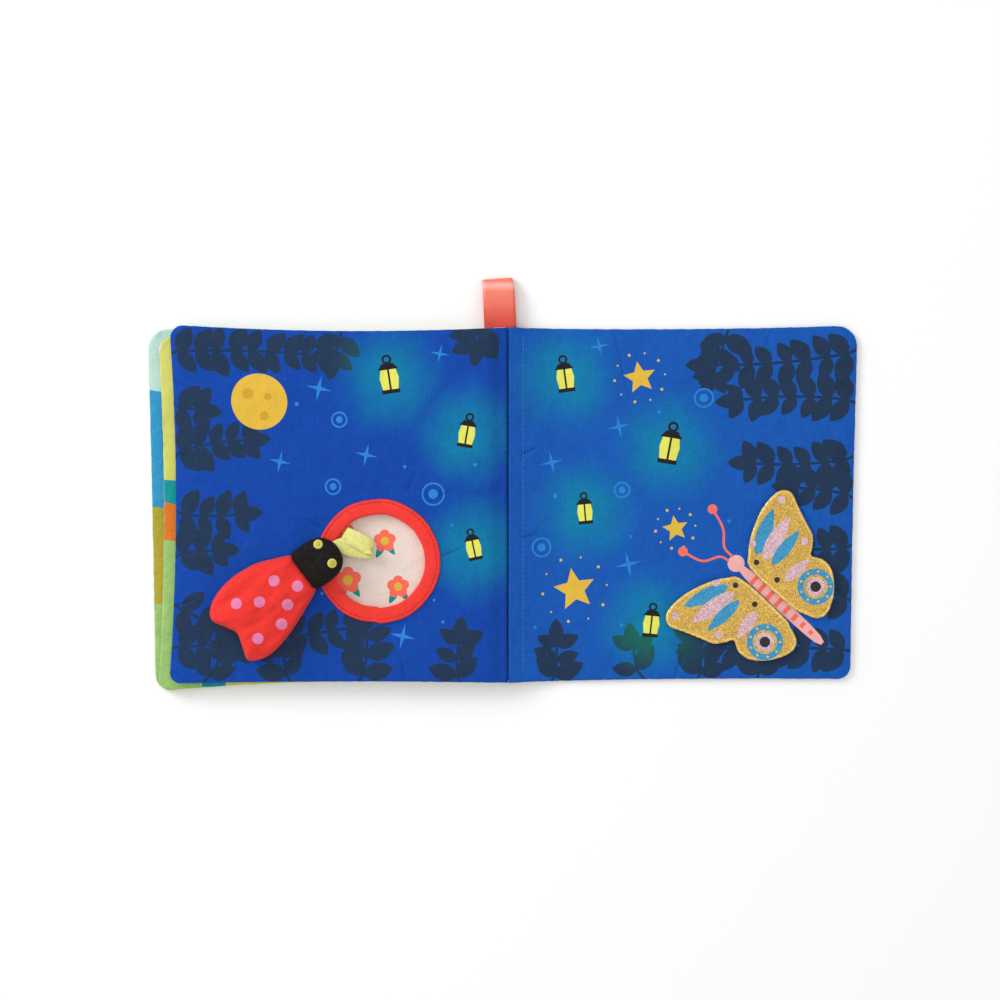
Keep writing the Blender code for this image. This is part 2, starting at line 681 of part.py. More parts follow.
for old in list(bpy.data.objects):
    bpy.data.objects.remove(old)
parts = bpy.data.collections.new("crinkle_cloth_book")
cutters = bpy.data.collections.new("cutters")
bpy.context.scene.collection.children.link(parts)
bpy.context.scene.collection.children.link(cutters)

film_look = material("crinkle_film", (0.85, 0.87, 0.88), 0.25)
wadding_look = material("white_wadding", (0.9, 0.9, 0.88), 0.95)
wing_face_look = material("gold_fabric", (0.6, 0.38, 0.07), 0.45, 0.6)
wing_back_look = material("wing_backing_cotton", (0.02, 0.08, 0.42), 0.85)
eye_look = material("ladybird_eye_lime", (0.66, 0.62, 0.12), 0.8)

fold = (0, 0, FOLD_HEIGHT)
leaf_pivots = {name: pivot_at(f"{name}_pivot", fold) for name in LEAVES if name != "front_cover"}
leaf_pieces = {name: make_leaf(name) for name in LEAVES}
toy_hinge = (-TOY_NECK_FROM_FOLD, -TOY_PIVOT_BELOW_MIDDLE, LEFT_TOP + TOY_PIVOT_ABOVE_LEAF)
toy_pivot = pivot_at("ladybird_pivot", toy_hinge)
wing_pivots = [wing("upper_wing", 1), wing("lower_wing", -1)]

spine_tape()
hang_loop()
hang_on(toy_pivot, *ladybird())
hang_on(leaf_pivots["middle_leaf"], *leaf_pieces["middle_leaf"], leaf_pivots["window_leaf"])
hang_on(
    leaf_pivots["window_leaf"],
    *leaf_pieces["window_leaf"],
    window_binding(),
    tether_ribbon(),
    toy_pivot,
)
hang_on(
    leaf_pivots["back_cover"],
    *leaf_pieces["back_cover"],
    binding_stitch(),
    *wing_pivots,
)
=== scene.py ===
"""Looks of a crinkle cloth book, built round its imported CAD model.

Metres, in the model's frame: +X to the right page, +Y to the head of the page, +Z up.
"""

import math
import random
from collections import namedtuple
from functools import reduce

import bmesh
import bpy
import numpy as np
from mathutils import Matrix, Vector, noise
from mathutils.geometry import delaunay_2d_cdt


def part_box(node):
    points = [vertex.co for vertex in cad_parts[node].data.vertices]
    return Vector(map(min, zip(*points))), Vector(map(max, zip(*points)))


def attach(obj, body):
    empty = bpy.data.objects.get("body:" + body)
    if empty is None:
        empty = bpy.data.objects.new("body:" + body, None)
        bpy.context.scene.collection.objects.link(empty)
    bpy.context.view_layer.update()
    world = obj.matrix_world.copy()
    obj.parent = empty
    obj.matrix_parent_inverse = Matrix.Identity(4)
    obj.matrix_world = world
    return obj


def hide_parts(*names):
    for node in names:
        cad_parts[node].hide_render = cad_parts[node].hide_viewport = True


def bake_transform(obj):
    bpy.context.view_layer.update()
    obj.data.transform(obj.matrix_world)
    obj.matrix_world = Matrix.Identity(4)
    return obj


MM = 0.001


def direction(angle):
    return Vector((math.cos(angle), math.sin(angle)))


# Leaves, as in the CAD model
LEAF_WIDTH = 201 * MM
LEAF_HEIGHT = 211.5 * MM
LEAF_CROWN = 1.55 * MM
LEAF_RISE_WIDTH = 26 * MM
HALF_MARGIN = 0.65 * MM
FLAT_HALF_LEAF = 1.7 * MM
SPINE_MARGIN = 5.5 * MM
BOTTOM_DRAW_IN = 1 * MM
WADDING_INSET = 14 * MM

# side: -1 left, 1 right of the fold. start: from the fold to the leaf's inner edge. middle: the
# height of its middle. rise_share and lean_share: how its outer edge sits up the page and leans.
# rests: it lies on the floor. fold, fold_level: how far from the hinge line its inner cloth ends,
# and how high. rise_power: how late its inner cloth rises to the hinge line. corners: radii at
# foot and head. side_in, top_in: how far its outer side and its head are drawn in at their
# middles. droop: how far its inner margin rolls down. ramp: how far out from the hinge line it
# rises to it. flare: how much further its outer side reaches at head and foot. late: how late its
# rise begins.
Leaf = namedtuple(
    "Leaf", "body side start middle rise_share lean_share rests fold fold_level rise_power "
    "corners side_in top_in droop ramp flare late",
)
LEAVES = {
    "front_cover": Leaf(
        "binding", -1, 12.6 * MM, 1.7 * MM, -0.0132, 0.012, True, 1.6 * MM, 6.2 * MM, 1.5,
        (10 * MM, 13 * MM), 0.3 * MM, 3.2 * MM, 0, 0, 2.85 * MM, 3,
    ),
    "middle_leaf": Leaf(
        "middle_leaf", -1, 8.1 * MM, 6.4 * MM, -0.0255, 0, False, 1.6 * MM, 7.3 * MM, 1.5,
        (8 * MM, 9 * MM), 3.4 * MM, 3.2 * MM, 0, 0, 0, 3,
    ),
    "window_leaf": Leaf(
        "window_leaf", -1, 1.1 * MM, 11.1 * MM, 0.003, 0, False, 1 * MM, 8.75 * MM, 1.5,
        (7 * MM, 9 * MM), 4 * MM, 3 * MM, 2.8 * MM, 0, 1 * MM, 1,
    ),
    "back_cover": Leaf(
        "back_cover", 1, 5 * MM, 1.7 * MM, 0.008, 0.011, True, -0.4 * MM, 8.75 * MM, 1.8,
        (8 * MM, 13 * MM), 0.5 * MM, 1.4 * MM, 0, 34 * MM, 0, 1,
    ),
}

# Shape of the padded leaf's surface, and the net of triangles over it
RISE_POWER = 4
SEAM_ROUND = 0.9 * MM
SEAM_FADE = 1.2 * MM
FOLD_HALF = 0.28 * MM
FOLD_OUT = 6 * MM
FOLD_STEPS = 8
ROLL_WIDTH = 12 * MM
ROLLED_EDGE = 1 * MM
PAGE_STEP = 2.1 * MM
PLAIN_STEP = 4.2 * MM
OUTLINE_STEP = 1.6 * MM
EDGE_ROWS = (0.3 * MM, 0.9 * MM, 2 * MM)
SWELL_DEPTH = 0.85 * MM
SWELL_PITCH = 34 * MM
PUCKER_DEPTH = 0.8 * MM
PUCKER_REACH = 7 * MM
PUCKER_PITCH = 5 * MM
# Puckers: their width as a share of their length, the noise under which they form, how sharp
# they are and how deep
PUCKER_STRETCH_SHARE = 0.22
PUCKER_BELOW, PUCKER_POWER, PUCKER_GAIN = 0.15, 1.3, 1.9
RING_PUCKER_DEPTH = 1.3 * PUCKER_DEPTH
RING_PUCKER_REACH = 1.4 * PUCKER_REACH
RING_PUCKER_PITCH = 1.5 * PUCKER_PITCH
RUMPLE_DEPTH = 0.3 * MM
RUMPLE_PITCH = 12 * MM
# Shares of their depths at which swells and rumples lie where the noise is nought
SWELL_MIDDLE_SHARE, SWELL_GAIN, RUMPLE_MIDDLE_SHARE = 0.5, 0.9, 0.4
CREASE_DEPTH = 1.2 * MM
CREASE_HALF_WIDTH = 1.3 * MM
CREASE_POWER, CREASE_TAPER, CREASE_END_SHARE = 1.4, 0.6, 0.04
DEEPEST = 1.45 * MM
SCALLOP = 0.22 * MM
SCALLOP_PITCH = 3.4 * MM
SCALLOP_REACH = 2 * MM
NET_UNIT = 1 / MM
WELD = 0.02 * MM
# How close two points of the net lie to be one, in its own units
NET_MERGED = 1e-5
WINDOW_EDGE_SLACK = 1.5 * MM
SLOPE_STEP = 0.1 * MM
MOTIF_MARGIN = 0.12 * MM
LEAST_MOTIF = 0.3 * MM * MM
# Creases of the two open pages: where they start and end, in millimetres of the flat leaf
CREASES = {
    "window_leaf": (
        ((45, 2), (32, 9)), ((40, -31), (27, -26)), ((121, -8), (111, -15)), ((59, 8), (54, 22)),
        ((200.5, -60), (187, -56)), ((200.5, 30), (188, 27)), ((200.5, 72), (191, 69)),
        ((31, -56), (22, -68)), ((120, 105), (117, 94)), ((60, -105), (63, -92)),
    ),
    "back_cover": (
        ((57, 104), (66, 66)), ((200.5, 66), (188, 74)), ((200.5, 17), (187, 26)),
        ((200.5, -57), (188, -50)), ((3, -70), (20, -77)), ((95, -104.5), (100, -88)),
        ((2, 30), (12, 34)), ((2, -20), (13, -17)), ((150, 104), (146, 92)),
    ),
}

# Window, ring and tether
WINDOW_CENTRE = Vector((-77.8 * MM, -33.3 * MM))
WINDOW_IN_LEAF = Vector((-WINDOW_CENTRE.x - LEAVES["window_leaf"].start, WINDOW_CENTRE.y))
WINDOW_RADIUS = 27.7 * MM
RING_RADIUS = 36.9 * MM
CUT_RADIUS = 29.4 * MM
PINCH_RADIUS = 39.5 * MM
PINCH_RISE_WIDTH = 12.5 * MM
LEFT_TOP = 13.3 * MM
TETHER_WIDTH = 9.6 * MM
TETHER_CUT_WIDTH = 10 * MM

# Toy
TOY_LENGTH = 59.5 * MM
TOY_HEIGHT = 15 * MM
TOY_HEAD_LENGTH = 24.5 * MM
TOY_HEAD_HEIGHT = 12.5 * MM
TOY_CLOTH = 0.6 * MM
TOY_BASE = 13.6 * MM
TOY_NECK = Vector((-122.9 * MM, -40.2 * MM))
TOY_TURN = math.radians(36.6)
TOY_FORWARD = direction(TOY_TURN)
TOY_SIDEWAYS = Vector((TOY_FORWARD.y, -TOY_FORWARD.x))

# Wings
WING_LENGTH = 59.5 * MM
WING_HEAD = Vector((139.8 * MM, -39.8 * MM))
WING_ALONG = direction(math.radians(-42.5))
WING_OUT = Vector((-WING_ALONG.y, WING_ALONG.x))
WING_HINGE_OFFSET = 3.9 * MM


def rgb(red, green, blue):
    """A linear colour from sRGB numbers up to 255."""
    parts = [value / 255 for value in (red, green, blue)]
    return tuple(p / 12.92 if p <= 0.04045 else ((p + 0.055) / 1.055) ** 2.4 for p in parts)


# One night cotton on both pages: painted shade makes the left page's ground darker, and painted light makes
# the right page's ground lighter
NIGHT_LEFT_PAINTED_SHADE = rgb(14, 69, 165)
NIGHT_RIGHT_PAINTED_LIGHT = rgb(20, 86, 176)
GLOW = rgb(10, 124, 165)
FOLIAGE = rgb(33, 54, 82)
FOLIAGE_LIT = rgb(24, 104, 92)
MUSTARD = rgb(224, 183, 66)
MOON_SHADE = rgb(206, 160, 52)
LEMON = rgb(228, 226, 96)
SKY = rgb(44, 128, 208)
INK = rgb(32, 32, 38)
PAPER = rgb(232, 217, 206)
CORAL = rgb(248, 112, 92)
SATIN = rgb(240, 120, 98)
# The satin loop's painted shade and painted highlight
SATIN_PAINTED_SHADE = rgb(228, 68, 40)
SATIN_PAINTED_HIGHLIGHT = rgb(250, 196, 186)
PINK = rgb(240, 176, 172)
TEAL = rgb(22, 146, 150)
LIME = rgb(204, 204, 104)
AQUA = rgb(181, 213, 202)
OLIVE = rgb(172, 160, 54)
ORANGE = rgb(218, 118, 40)
LEAF_GREEN = rgb(150, 190, 110)
COVER_YELLOW = rgb(232, 196, 60)
# Painted shade: the seam allowance in the gutter, darker than the night cotton
SEAM_PAINTED_SHADE_NAVY = rgb(16, 40, 104)
STITCH_BLUE = rgb(84, 132, 204)
RING_RED = rgb(240, 60, 52)
RING_STITCH_RED = rgb(150, 18, 26)
TETHER_LIME = rgb(223, 220, 130)
RED = rgb(232, 52, 45)
SPOT_PINK = rgb(224, 126, 170)
BLACK = rgb(27, 22, 21)
FLECK_GREY = rgb(70, 65, 64)
EYE_LIME = rgb(222, 218, 88)
GOLD = rgb(208, 168, 78)
RIM_GOLD = rgb(226, 188, 100)
HEART_GOLD = rgb(226, 186, 84)
LILAC = rgb(214, 176, 184)
WING_BLUE = rgb(52, 146, 192)
WING_DARK = rgb(34, 30, 34)
WING_BACK = rgb(40, 74, 150)
FILM_GREY = rgb(226, 230, 232)
WADDING_WHITE = rgb(238, 238, 232)


def smoothstep(value):
    value = np.clip(value, 0, 1)
    return value * value * (3 - 2 * value)


def curve_stretch(a, b, c, d, steps):
    """Points of a Catmull-Rom curve from b on, before c."""
    made = []
    for step in range(steps):
        t = step / steps
        square = (2 * a - 5 * b + 4 * c - d) * t**2
        cube = (3 * b - a - 3 * c + d) * t**3
        made.append((2 * b + (c - a) * t + square + cube) / 2)
    return made


def smooth_route(points, steps, closed=False):
    """A curve through points, with steps points for each of them, open or closed."""
    points = [Vector(point) for point in points]
    around = [points[-1], *points, *points[:2]] if closed else [points[0], *points, points[-1]]
    stretches = zip(around, around[1:], around[2:], around[3:])
    made = [point for ends in stretches for point in curve_stretch(*ends, steps)]
    return made if closed else [*made, points[-1]]


def route_length(points):
    return sum((b - a).length for a, b in zip(points, points[1:]))


def middle_of(points):
    points = [Vector(point) for point in points]
    return sum(points, 0 * points[0]) / len(points)


def extent(points):
    """The lowest and the highest corner round flat points."""
    return [[pick(point[axis] for point in points) for axis in (0, 1)] for pick in (min, max)]


def signed_area(points):
    return sum(a.x * b.y - b.x * a.y for a, b in zip(points, points[1:] + points[:1])) / 2


def turned_left(points):
    """The outline's points, running anticlockwise."""
    return points if signed_area(points) > 0 else points[::-1]


def disc(centre, radius, count=26):
    return [centre + radius * direction(math.tau * i / count) for i in range(count)]


def noise_of(points):
    return np.array([noise.noise(Vector(point)) for point in points])


def add_mesh(name, points, faces, looks, slots=None):
    mesh = bpy.data.meshes.new(name)
    mesh.from_pydata([tuple(point) for point in points], [], faces)
    for look in looks:
        mesh.materials.append(look)
    if slots is not None:
        mesh.polygons.foreach_set("material_index", slots)
    mesh.shade_smooth()
    mesh.validate()
    obj = bpy.data.objects.new(name, mesh)
    bpy.context.scene.collection.objects.link(obj)
    return obj


def closed_up(obj, weld=False, slivers=False, bridged=None):
    """Turns a closed mesh's faces outward, once its halves are welded or bridged at their rims."""
    shape = bmesh.new()
    shape.from_mesh(obj.data)
    if weld:
        bmesh.ops.remove_doubles(shape, verts=shape.verts, dist=WELD)
    if slivers:
        bmesh.ops.dissolve_degenerate(shape, edges=shape.edges, dist=WELD / 4)
    if bridged:
        rims = [edge for edge in shape.edges if edge.is_boundary and bridged(edge)]
        bmesh.ops.bridge_loops(shape, edges=rims)
    bmesh.ops.recalc_face_normals(shape, faces=shape.faces)
    shape.to_mesh(obj.data)
    shape.free()
    obj.data.shade_smooth()
    return obj


def two_sided(net, faces, x, y, high, low):
    """Points and faces of a flat net's upper and lower side, in that order."""
    points = [*np.column_stack((x, y, high)), *np.column_stack((x, y, low))]
    return points, faces + [[len(net) + i for i in face[::-1]] for face in faces]


def stand_in(piece, body, slot, *nodes, fill=None):
    """Puts a piece on its body and hides the CAD nodes that it stands for. Its slot is not used."""
    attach(piece, body)
    if nodes:
        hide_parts(*nodes)


class Look:
    """A Principled material under construction, with object coordinates to hand.

    Every value may be a socket or a plain number, colour or vector.
    """

    def __init__(self, name, colour, roughness, **values):
        self.material = bpy.data.materials.new(name)
        self.material.use_nodes = True
        self.tree = self.material.node_tree
        self.shader = self.tree.nodes["Principled BSDF"]
        self.place = self.node("TexCoord", "Object", {})
        self.normal = None
        self.paint((*colour, 1))
        for socket, value in {"roughness": roughness, **values}.items():
            label = socket.replace("_", " ").title().replace("Ior", "IOR")
            self.link(value, self.shader.inputs[label])

    def link(self, source, target):
        if hasattr(source, "is_output"):
            self.tree.links.new(source, target)
        else:
            target.default_value = source

    def node(self, kind, output, inputs, **settings):
        """The output of a new node, from its inputs by name or number."""
        made = self.tree.nodes.new("ShaderNode" + kind)
        for key, value in settings.items():
            setattr(made, key, value)
        for socket, source in inputs.items():
            self.link(source, made.inputs[socket])
        return made.outputs[output]

    def paint(self, colour):
        self.link(colour, self.shader.inputs["Base Color"])

    def bump(self, height, depth):
        inputs = {"Height": height, "Distance": depth, "Strength": 1}
        if self.normal is not None:
            inputs["Normal"] = self.normal
        self.normal = self.node("Bump", "Normal", inputs)
        self.link(self.normal, self.shader.inputs["Normal"])

    def math(self, operation, *values, clamp=False):
        inputs = dict(enumerate(values))
        return self.node("Math", 0, inputs, operation=operation, use_clamp=clamp)

    def vector(self, operation, first, second, output="Vector"):
        return self.node("VectorMath", output, {0: first, 1: second}, operation=operation)

    def noise(self, scale, stretch=(1, 1, 1), detail=2, place=None):
        """Noise from 0 to 1, finer as scale grows."""
        spread = self.vector("MULTIPLY", place or self.place, [scale * part for part in stretch])
        return self.node("TexNoise", "Fac", {"Scale": 1, "Detail": detail, "Vector": spread})

    def axis(self, name):
        return self.node("SeparateXYZ", name, {0: self.place})

    def nearest(self, centres, place=None):
        """How far a point is from the nearest of centres."""
        gaps = [self.vector("DISTANCE", place or self.place, spot, "Value") for spot in centres]
        return reduce(lambda a, b: self.math("MINIMUM", a, b), gaps)

    def mix(self, share, first, second):
        """A colour this share of the way from first to second."""
        ends = [(*end, 1) if isinstance(end, tuple) else end for end in (first, second)]
        return self.node("Mix", 2, {0: share, 6: ends[0], 7: ends[1]}, data_type="RGBA")

    def ramp(self, value, low, high):
        """0 up to low, 1 from high on, smooth between."""
        inputs = {"Value": value, "From Min": low, "From Max": high}
        return self.node("MapRange", "Result", inputs, interpolation_type="SMOOTHSTEP")

    def spread(self, value, low, high):
        """low to high, as value runs from 0 to 1."""
        return self.node("MapRange", "Result", {"Value": value, "To Min": low, "To Max": high})

    def shade(self, colour, dark, light, value):
        """colour, darker or lighter by value, which runs from 0 to 1."""
        inputs = {0: colour, "Scale": self.spread(value, dark, light)}
        return self.node("VectorMath", "Vector", inputs, operation="SCALE")


WARP = 1500
THREAD_STRETCH = 0.11
WEAVE_DEPTH = 0.12 * MM
BLOTCH_SCALE = 38
DARK_CONTRAST = 0.36
PALE_CONTRAST = 0.12
CRUMPLE_SCALE = 90
CRUMPLE_DEPTH = 1.6 * MM
GLOW_RADIUS = 38 * MM
GLOW_WOBBLE = 0.35 * GLOW_RADIUS


def weave(look, colour, contrast, depth=WEAVE_DEPTH, scale=WARP, turn=0):
    """The look's material, with woven threads both ways: streaks of colour and a fine relief."""
    place = look.place
    if turn:
        inputs = {"Vector": place, "Angle": turn}
        place = look.node("VectorRotate", "Vector", inputs, rotation_type="Z_AXIS")
    along = look.noise(scale, (1, THREAD_STRETCH, 1), place=place)
    across = look.noise(scale, (THREAD_STRETCH, 1, 1), place=place)
    threads = look.math("MULTIPLY", look.math("ADD", along, across), 0.5)
    shaded = look.shade(colour, 1 - contrast, 1 + contrast, threads)
    look.paint(look.shade(shaded, 0.92, 1.08, look.noise(BLOTCH_SCALE, detail=3)))
    look.bump(threads, depth)
    return look.material


def plain_cloth(name, colour, roughness, contrast=0.14, turn=0, depth=WEAVE_DEPTH, scale=WARP, **values):
    return weave(Look(name, colour, roughness, **values), colour, contrast, depth, scale, turn)


def printed_cotton(name, colour, glows=(), lit=None):
    """Printed cotton, with soft lit patches round the places in glows."""
    look = Look(name, colour, 0.88, specular_ior_level=0.12, sheen_weight=0.04, sheen_roughness=0.6)
    tone = colour
    if glows:
        wobble = look.math("MULTIPLY", look.noise(55, detail=1), GLOW_WOBBLE)
        away = look.math("ADD", look.nearest(glows), wobble)
        tone = look.mix(look.ramp(away, 0.22 * GLOW_RADIUS, 1.2 * GLOW_RADIUS), lit, colour)
    weave(look, tone, DARK_CONTRAST if sum(colour) < 1 else PALE_CONTRAST)
    look.bump(look.noise(CRUMPLE_SCALE, detail=3), CRUMPLE_DEPTH)
    return look.material


def grained(name, colour, roughness, scale, detail, shades, depth, **values):
    """A look with one grain in both its colour and its relief."""
    look = Look(name, colour, roughness, **values)
    grain = look.noise(scale, detail=detail)
    look.paint(look.shade(colour, *shades, grain))
    look.bump(grain, depth)
    return look.material


def thread_look(name, colour):
    return grained(name, colour, 0.6, 3200, 1, (0.8, 1.15), 0.06 * MM, sheen_weight=0.2)


def filling_look(name):
    return grained(name, WADDING_WHITE, 0.95, 420, 6, (0.85, 1.05), 0.6 * MM)


def edge_inset(leaf, out, up):
    """How far a flat point lies in from the leaf's rounded outline, the spine's side left out."""
    side, head = LEAF_WIDTH - out, LEAF_HEIGHT / 2 - np.abs(up)
    radius = np.where(up < 0, *leaf.corners)
    corner = radius - np.hypot(np.maximum(radius - side, 0), np.maximum(radius - head, 0))
    return np.where((side < radius) & (head < radius), corner, np.minimum(side, head))


def leaf_place(leaf, out, up):
    """Where flat points lie in plan: out from the leaf's inner edge, up from its middle."""
    out_share, up_share = out / LEAF_WIDTH, 2 * up / LEAF_HEIGHT
    inward = np.maximum(out_share, 0)
    draw_in = leaf.side_in * (1 - up_share**2) * inward**2
    lean = leaf.lean_share * LEAF_WIDTH * up_share * inward
    sag = np.where(up > 0, leaf.top_in, BOTTOM_DRAW_IN) * 4 * inward * (1 - out_share)
    across = leaf.side * (leaf.start + out - draw_in + lean)
    rise = (leaf.rise_share * LEAF_HEIGHT + leaf.flare * up_share) * inward**leaf.late
    return across, up - sag * up_share * abs(up_share) + rise


def middle_line(leaf, out):
    """X and Z of the leaf's middle, which runs on past its inner edge to the hinge line."""
    share = np.clip(-out / FOLD_OUT, 0, 1)
    reach = np.where(out < 0, leaf.start + (leaf.fold - leaf.start) * share, leaf.start + out)
    if leaf.ramp:
        climb = np.clip(1 - reach / leaf.ramp, 0, 1) ** leaf.rise_power
        return leaf.side * reach, leaf.middle + (leaf.fold_level - leaf.middle) * climb
    edge = leaf.middle - leaf.droop * (1 - smoothstep(out / ROLL_WIDTH))
    return leaf.side * reach, edge + (leaf.fold_level - edge) * share**leaf.rise_power


def hollow(along, away, reach, pitch, seed):
    """Puckers: hollows that run away from a seam and die out."""
    stretched = away / pitch * PUCKER_STRETCH_SHARE
    spots = np.column_stack((along / pitch, stretched, np.full(len(along), seed)))
    depth = np.clip(PUCKER_BELOW - noise_of(spots), 0, 1) ** PUCKER_POWER
    return PUCKER_GAIN * depth * np.exp(-np.maximum(away, 0) / reach)


def crease_spots(name):
    """Net points along a leaf's creases and beside them."""
    spots = []
    for start, end in CREASES.get(name, ()):
        a, b = Vector(start) * MM, Vector(end) * MM
        aside = Vector((a.y - b.y, b.x - a.x)).normalized() * CREASE_HALF_WIDTH
        for share in np.linspace(0, 1, round((b - a).length / MM)):
            spots += [a.lerp(b, share) + part * aside for part in (-1, -0.4, 0, 0.4, 1)]
    return spots


def crease_depth(name, net):
    depth = np.zeros(len(net))
    for start, end in CREASES.get(name, ()):
        a, b = np.array(start) * MM, np.array(end) * MM
        run = b - a
        offset = net - a
        share = np.clip(offset @ run / (run @ run), 0, 1)
        gap = np.linalg.norm(offset - share[:, None] * run, axis=1)
        bow = np.clip(1 - gap / CREASE_HALF_WIDTH, 0, 1) ** CREASE_POWER
        inward = CREASE_END_SHARE + (1 - 2 * CREASE_END_SHARE) * share
        depth += bow * np.sin(math.pi * inward) ** CREASE_TAPER
    return np.clip(depth, 0, 1)


def wrinkles(name, facing, net, inset, to_window, share):
    """How far a face's cloth sinks below its full form, never above it."""
    out, up = net.T
    seed = 7.3 * list(LEAVES).index(name) + facing
    spots = np.column_stack((net / SWELL_PITCH, np.full(len(net), seed)))
    swell = SWELL_MIDDLE_SHARE + SWELL_GAIN * noise_of(spots)
    rumple = RUMPLE_MIDDLE_SHARE + noise_of(spots * SWELL_PITCH / RUMPLE_PITCH)
    sunk = (SWELL_DEPTH * np.clip(swell, 0, 1) + RUMPLE_DEPTH * np.clip(rumple, 0, 1)) * share
    along = np.where(LEAF_WIDTH - out < LEAF_HEIGHT / 2 - np.abs(up), up, out)
    fade = np.clip(inset / SEAM_FADE, 0, 1)
    sunk += PUCKER_DEPTH * fade * hollow(along, inset, PUCKER_REACH, PUCKER_PITCH, seed)
    if name == "window_leaf":
        turn = np.arctan2(up - WINDOW_CENTRE.y, -out - WINDOW_CENTRE.x) * PINCH_RADIUS
        ring = hollow(turn, to_window - RING_RADIUS, RING_PUCKER_REACH, RING_PUCKER_PITCH, seed)
        sunk += RING_PUCKER_DEPTH * ring * np.clip(share * 3, 0, 1)
    if facing > 0:
        sunk += CREASE_DEPTH * crease_depth(name, net) * fade
    return DEEPEST * np.tanh(sunk / DEEPEST)


def leaf_points(name, net, facing):
    """The 3D points of one face of a leaf, from flat points."""
    leaf = LEAVES[name]
    out, up = net.T
    across, along_page = leaf_place(leaf, out, up)
    fold_across, level = middle_line(leaf, out)
    across = np.where(out < 0, fold_across, across)
    inset = edge_inset(leaf, out, up)
    side, head = LEAF_WIDTH - out, LEAF_HEIGHT / 2 - np.abs(up)
    seed = np.full(len(out), leaf.middle / MM)
    along = np.column_stack((up / SCALLOP_PITCH, out / SCALLOP_PITCH, seed))
    scallop = SCALLOP * (0.5 + noise_of(along)) * np.exp(-inset / SCALLOP_REACH)
    across = across - leaf.side * scallop * (side < head)
    along_page = along_page - np.sign(up) * scallop * (side >= head) * (out > 0)
    rounding = np.sqrt(1 - (1 - np.clip(inset / SEAM_ROUND, 0, 1)) ** 2)
    near = np.minimum(inset, np.maximum(out - SPINE_MARGIN, 0))
    share = 1 - (1 - np.clip(near / LEAF_RISE_WIDTH, 0, 1)) ** RISE_POWER
    to_window = np.hypot(across - WINDOW_CENTRE.x, along_page - WINDOW_CENTRE.y)
    if name == "window_leaf":
        share = np.minimum(share, smoothstep((to_window - PINCH_RADIUS) / PINCH_RISE_WIDTH))
    flat = leaf.rests and facing < 0
    crown = FLAT_HALF_LEAF - HALF_MARGIN if flat else LEAF_CROWN
    to_fold = np.clip(-out / FOLD_OUT, 0, 1)
    half = (HALF_MARGIN + (FOLD_HALF - HALF_MARGIN) * to_fold) * rounding + crown * share
    if not flat:
        half -= wrinkles(name, facing, net, inset, to_window, share)
    ahead_across, ahead_level = middle_line(leaf, out + SLOPE_STEP)
    run, climb = ahead_across - fold_across, ahead_level - level
    size = np.hypot(run, climb)
    size = np.where(size > 0, size, 1)
    x = across - leaf.side * facing * half * climb / size
    z = level + leaf.side * facing * half * run / size
    return np.column_stack((x, along_page, z))


def stepped(start, end, step):
    """Points from start on, before end, about this far apart."""
    start, end = Vector(start), Vector(end)
    count = max(1, round((end - start).length / step))
    return [start.lerp(end, i / count) for i in range(count)]


def flat_outline(leaf, inset=0):
    """The leaf's flat outline, drawn in by inset, from the foot of the fold round to its head."""
    foot, head = (radius - inset for radius in leaf.corners)
    top, right = LEAF_HEIGHT / 2 - inset, LEAF_WIDTH - inset
    quarter = math.tau / 4
    arc_points = 10
    points = stepped((-FOLD_OUT, -top), (0, -top), FOLD_OUT / FOLD_STEPS)
    points += stepped((0, -top), (right - foot, -top), OUTLINE_STEP)
    for radius, centre, first, end in (
        (foot, (right - foot, foot - top), -quarter, (right, top - head)),
        (head, (right - head, top - head), 0, (0, top)),
    ):
        arc = [first + quarter * i / arc_points for i in range(arc_points)]
        points += [Vector(centre) + radius * direction(turn) for turn in arc]
        points += stepped(Vector(centre) + radius * direction(first + quarter), end, OUTLINE_STEP)
    points += stepped((0, top), (-FOLD_OUT, top), FOLD_OUT / FOLD_STEPS)
    return points + stepped((-FOLD_OUT, top), (-FOLD_OUT, -top), 3 * OUTLINE_STEP)


def kept_inside(leaf, point, windowed):
    """A motif's point, moved to the leaf's outline if it lies past it, or out of the window."""
    margin = MOTIF_MARGIN
    radius, top = leaf.corners[point[1] > 0], LEAF_HEIGHT / 2
    x = min(max(point[0], margin - FOLD_OUT), LEAF_WIDTH - margin)
    y = min(max(point[1], margin - top), top - margin)
    corner = Vector((LEAF_WIDTH - radius, math.copysign(top - radius, y)))
    offset = Vector((x, y)) - corner
    if offset.x > 0 and abs(y) > top - radius and offset.length > radius - margin:
        x, y = corner + offset.normalized() * (radius - margin)
    offset = Vector((x, y)) - WINDOW_IN_LEAF
    keep = (CUT_RADIUS + RING_RADIUS) / 2
    if windowed and offset.length < keep:
        x, y = WINDOW_IN_LEAF + offset.normalized() * keep
    return Vector((x, y))


def net_over(outline, holes, motifs, spots):
    """Triangles over an outline less its holes, with motifs' edges and spots in the net."""
    loops = [outline, *holes, *(points for _, points in motifs)]
    slots = [0] * (1 + len(holes)) + [slot for slot, _ in motifs]
    points, faces = [], []
    for loop in loops:
        faces.append(list(range(len(points), len(points) + len(loop))))
        points += [Vector(point) * NET_UNIT for point in turned_left(loop)]
    points += [Vector(spot) * NET_UNIT for spot in spots]
    made, _, triangles, _, _, holders = delaunay_2d_cdt(points, [], faces, 1, NET_MERGED)
    hole_ids = set(range(1, 1 + len(holes)))
    kept = [i for i, inside in enumerate(holders) if 0 in inside and not hole_ids & set(inside)]
    used = sorted({corner for i in kept for corner in triangles[i]})
    renumbered = {old: new for new, old in enumerate(used)}
    net = np.array([(made[i].x, made[i].y) for i in used]) / NET_UNIT
    faces = [[renumbered[corner] for corner in triangles[i]] for i in kept]
    return net, faces, [slots[max(holders[i])] for i in kept]


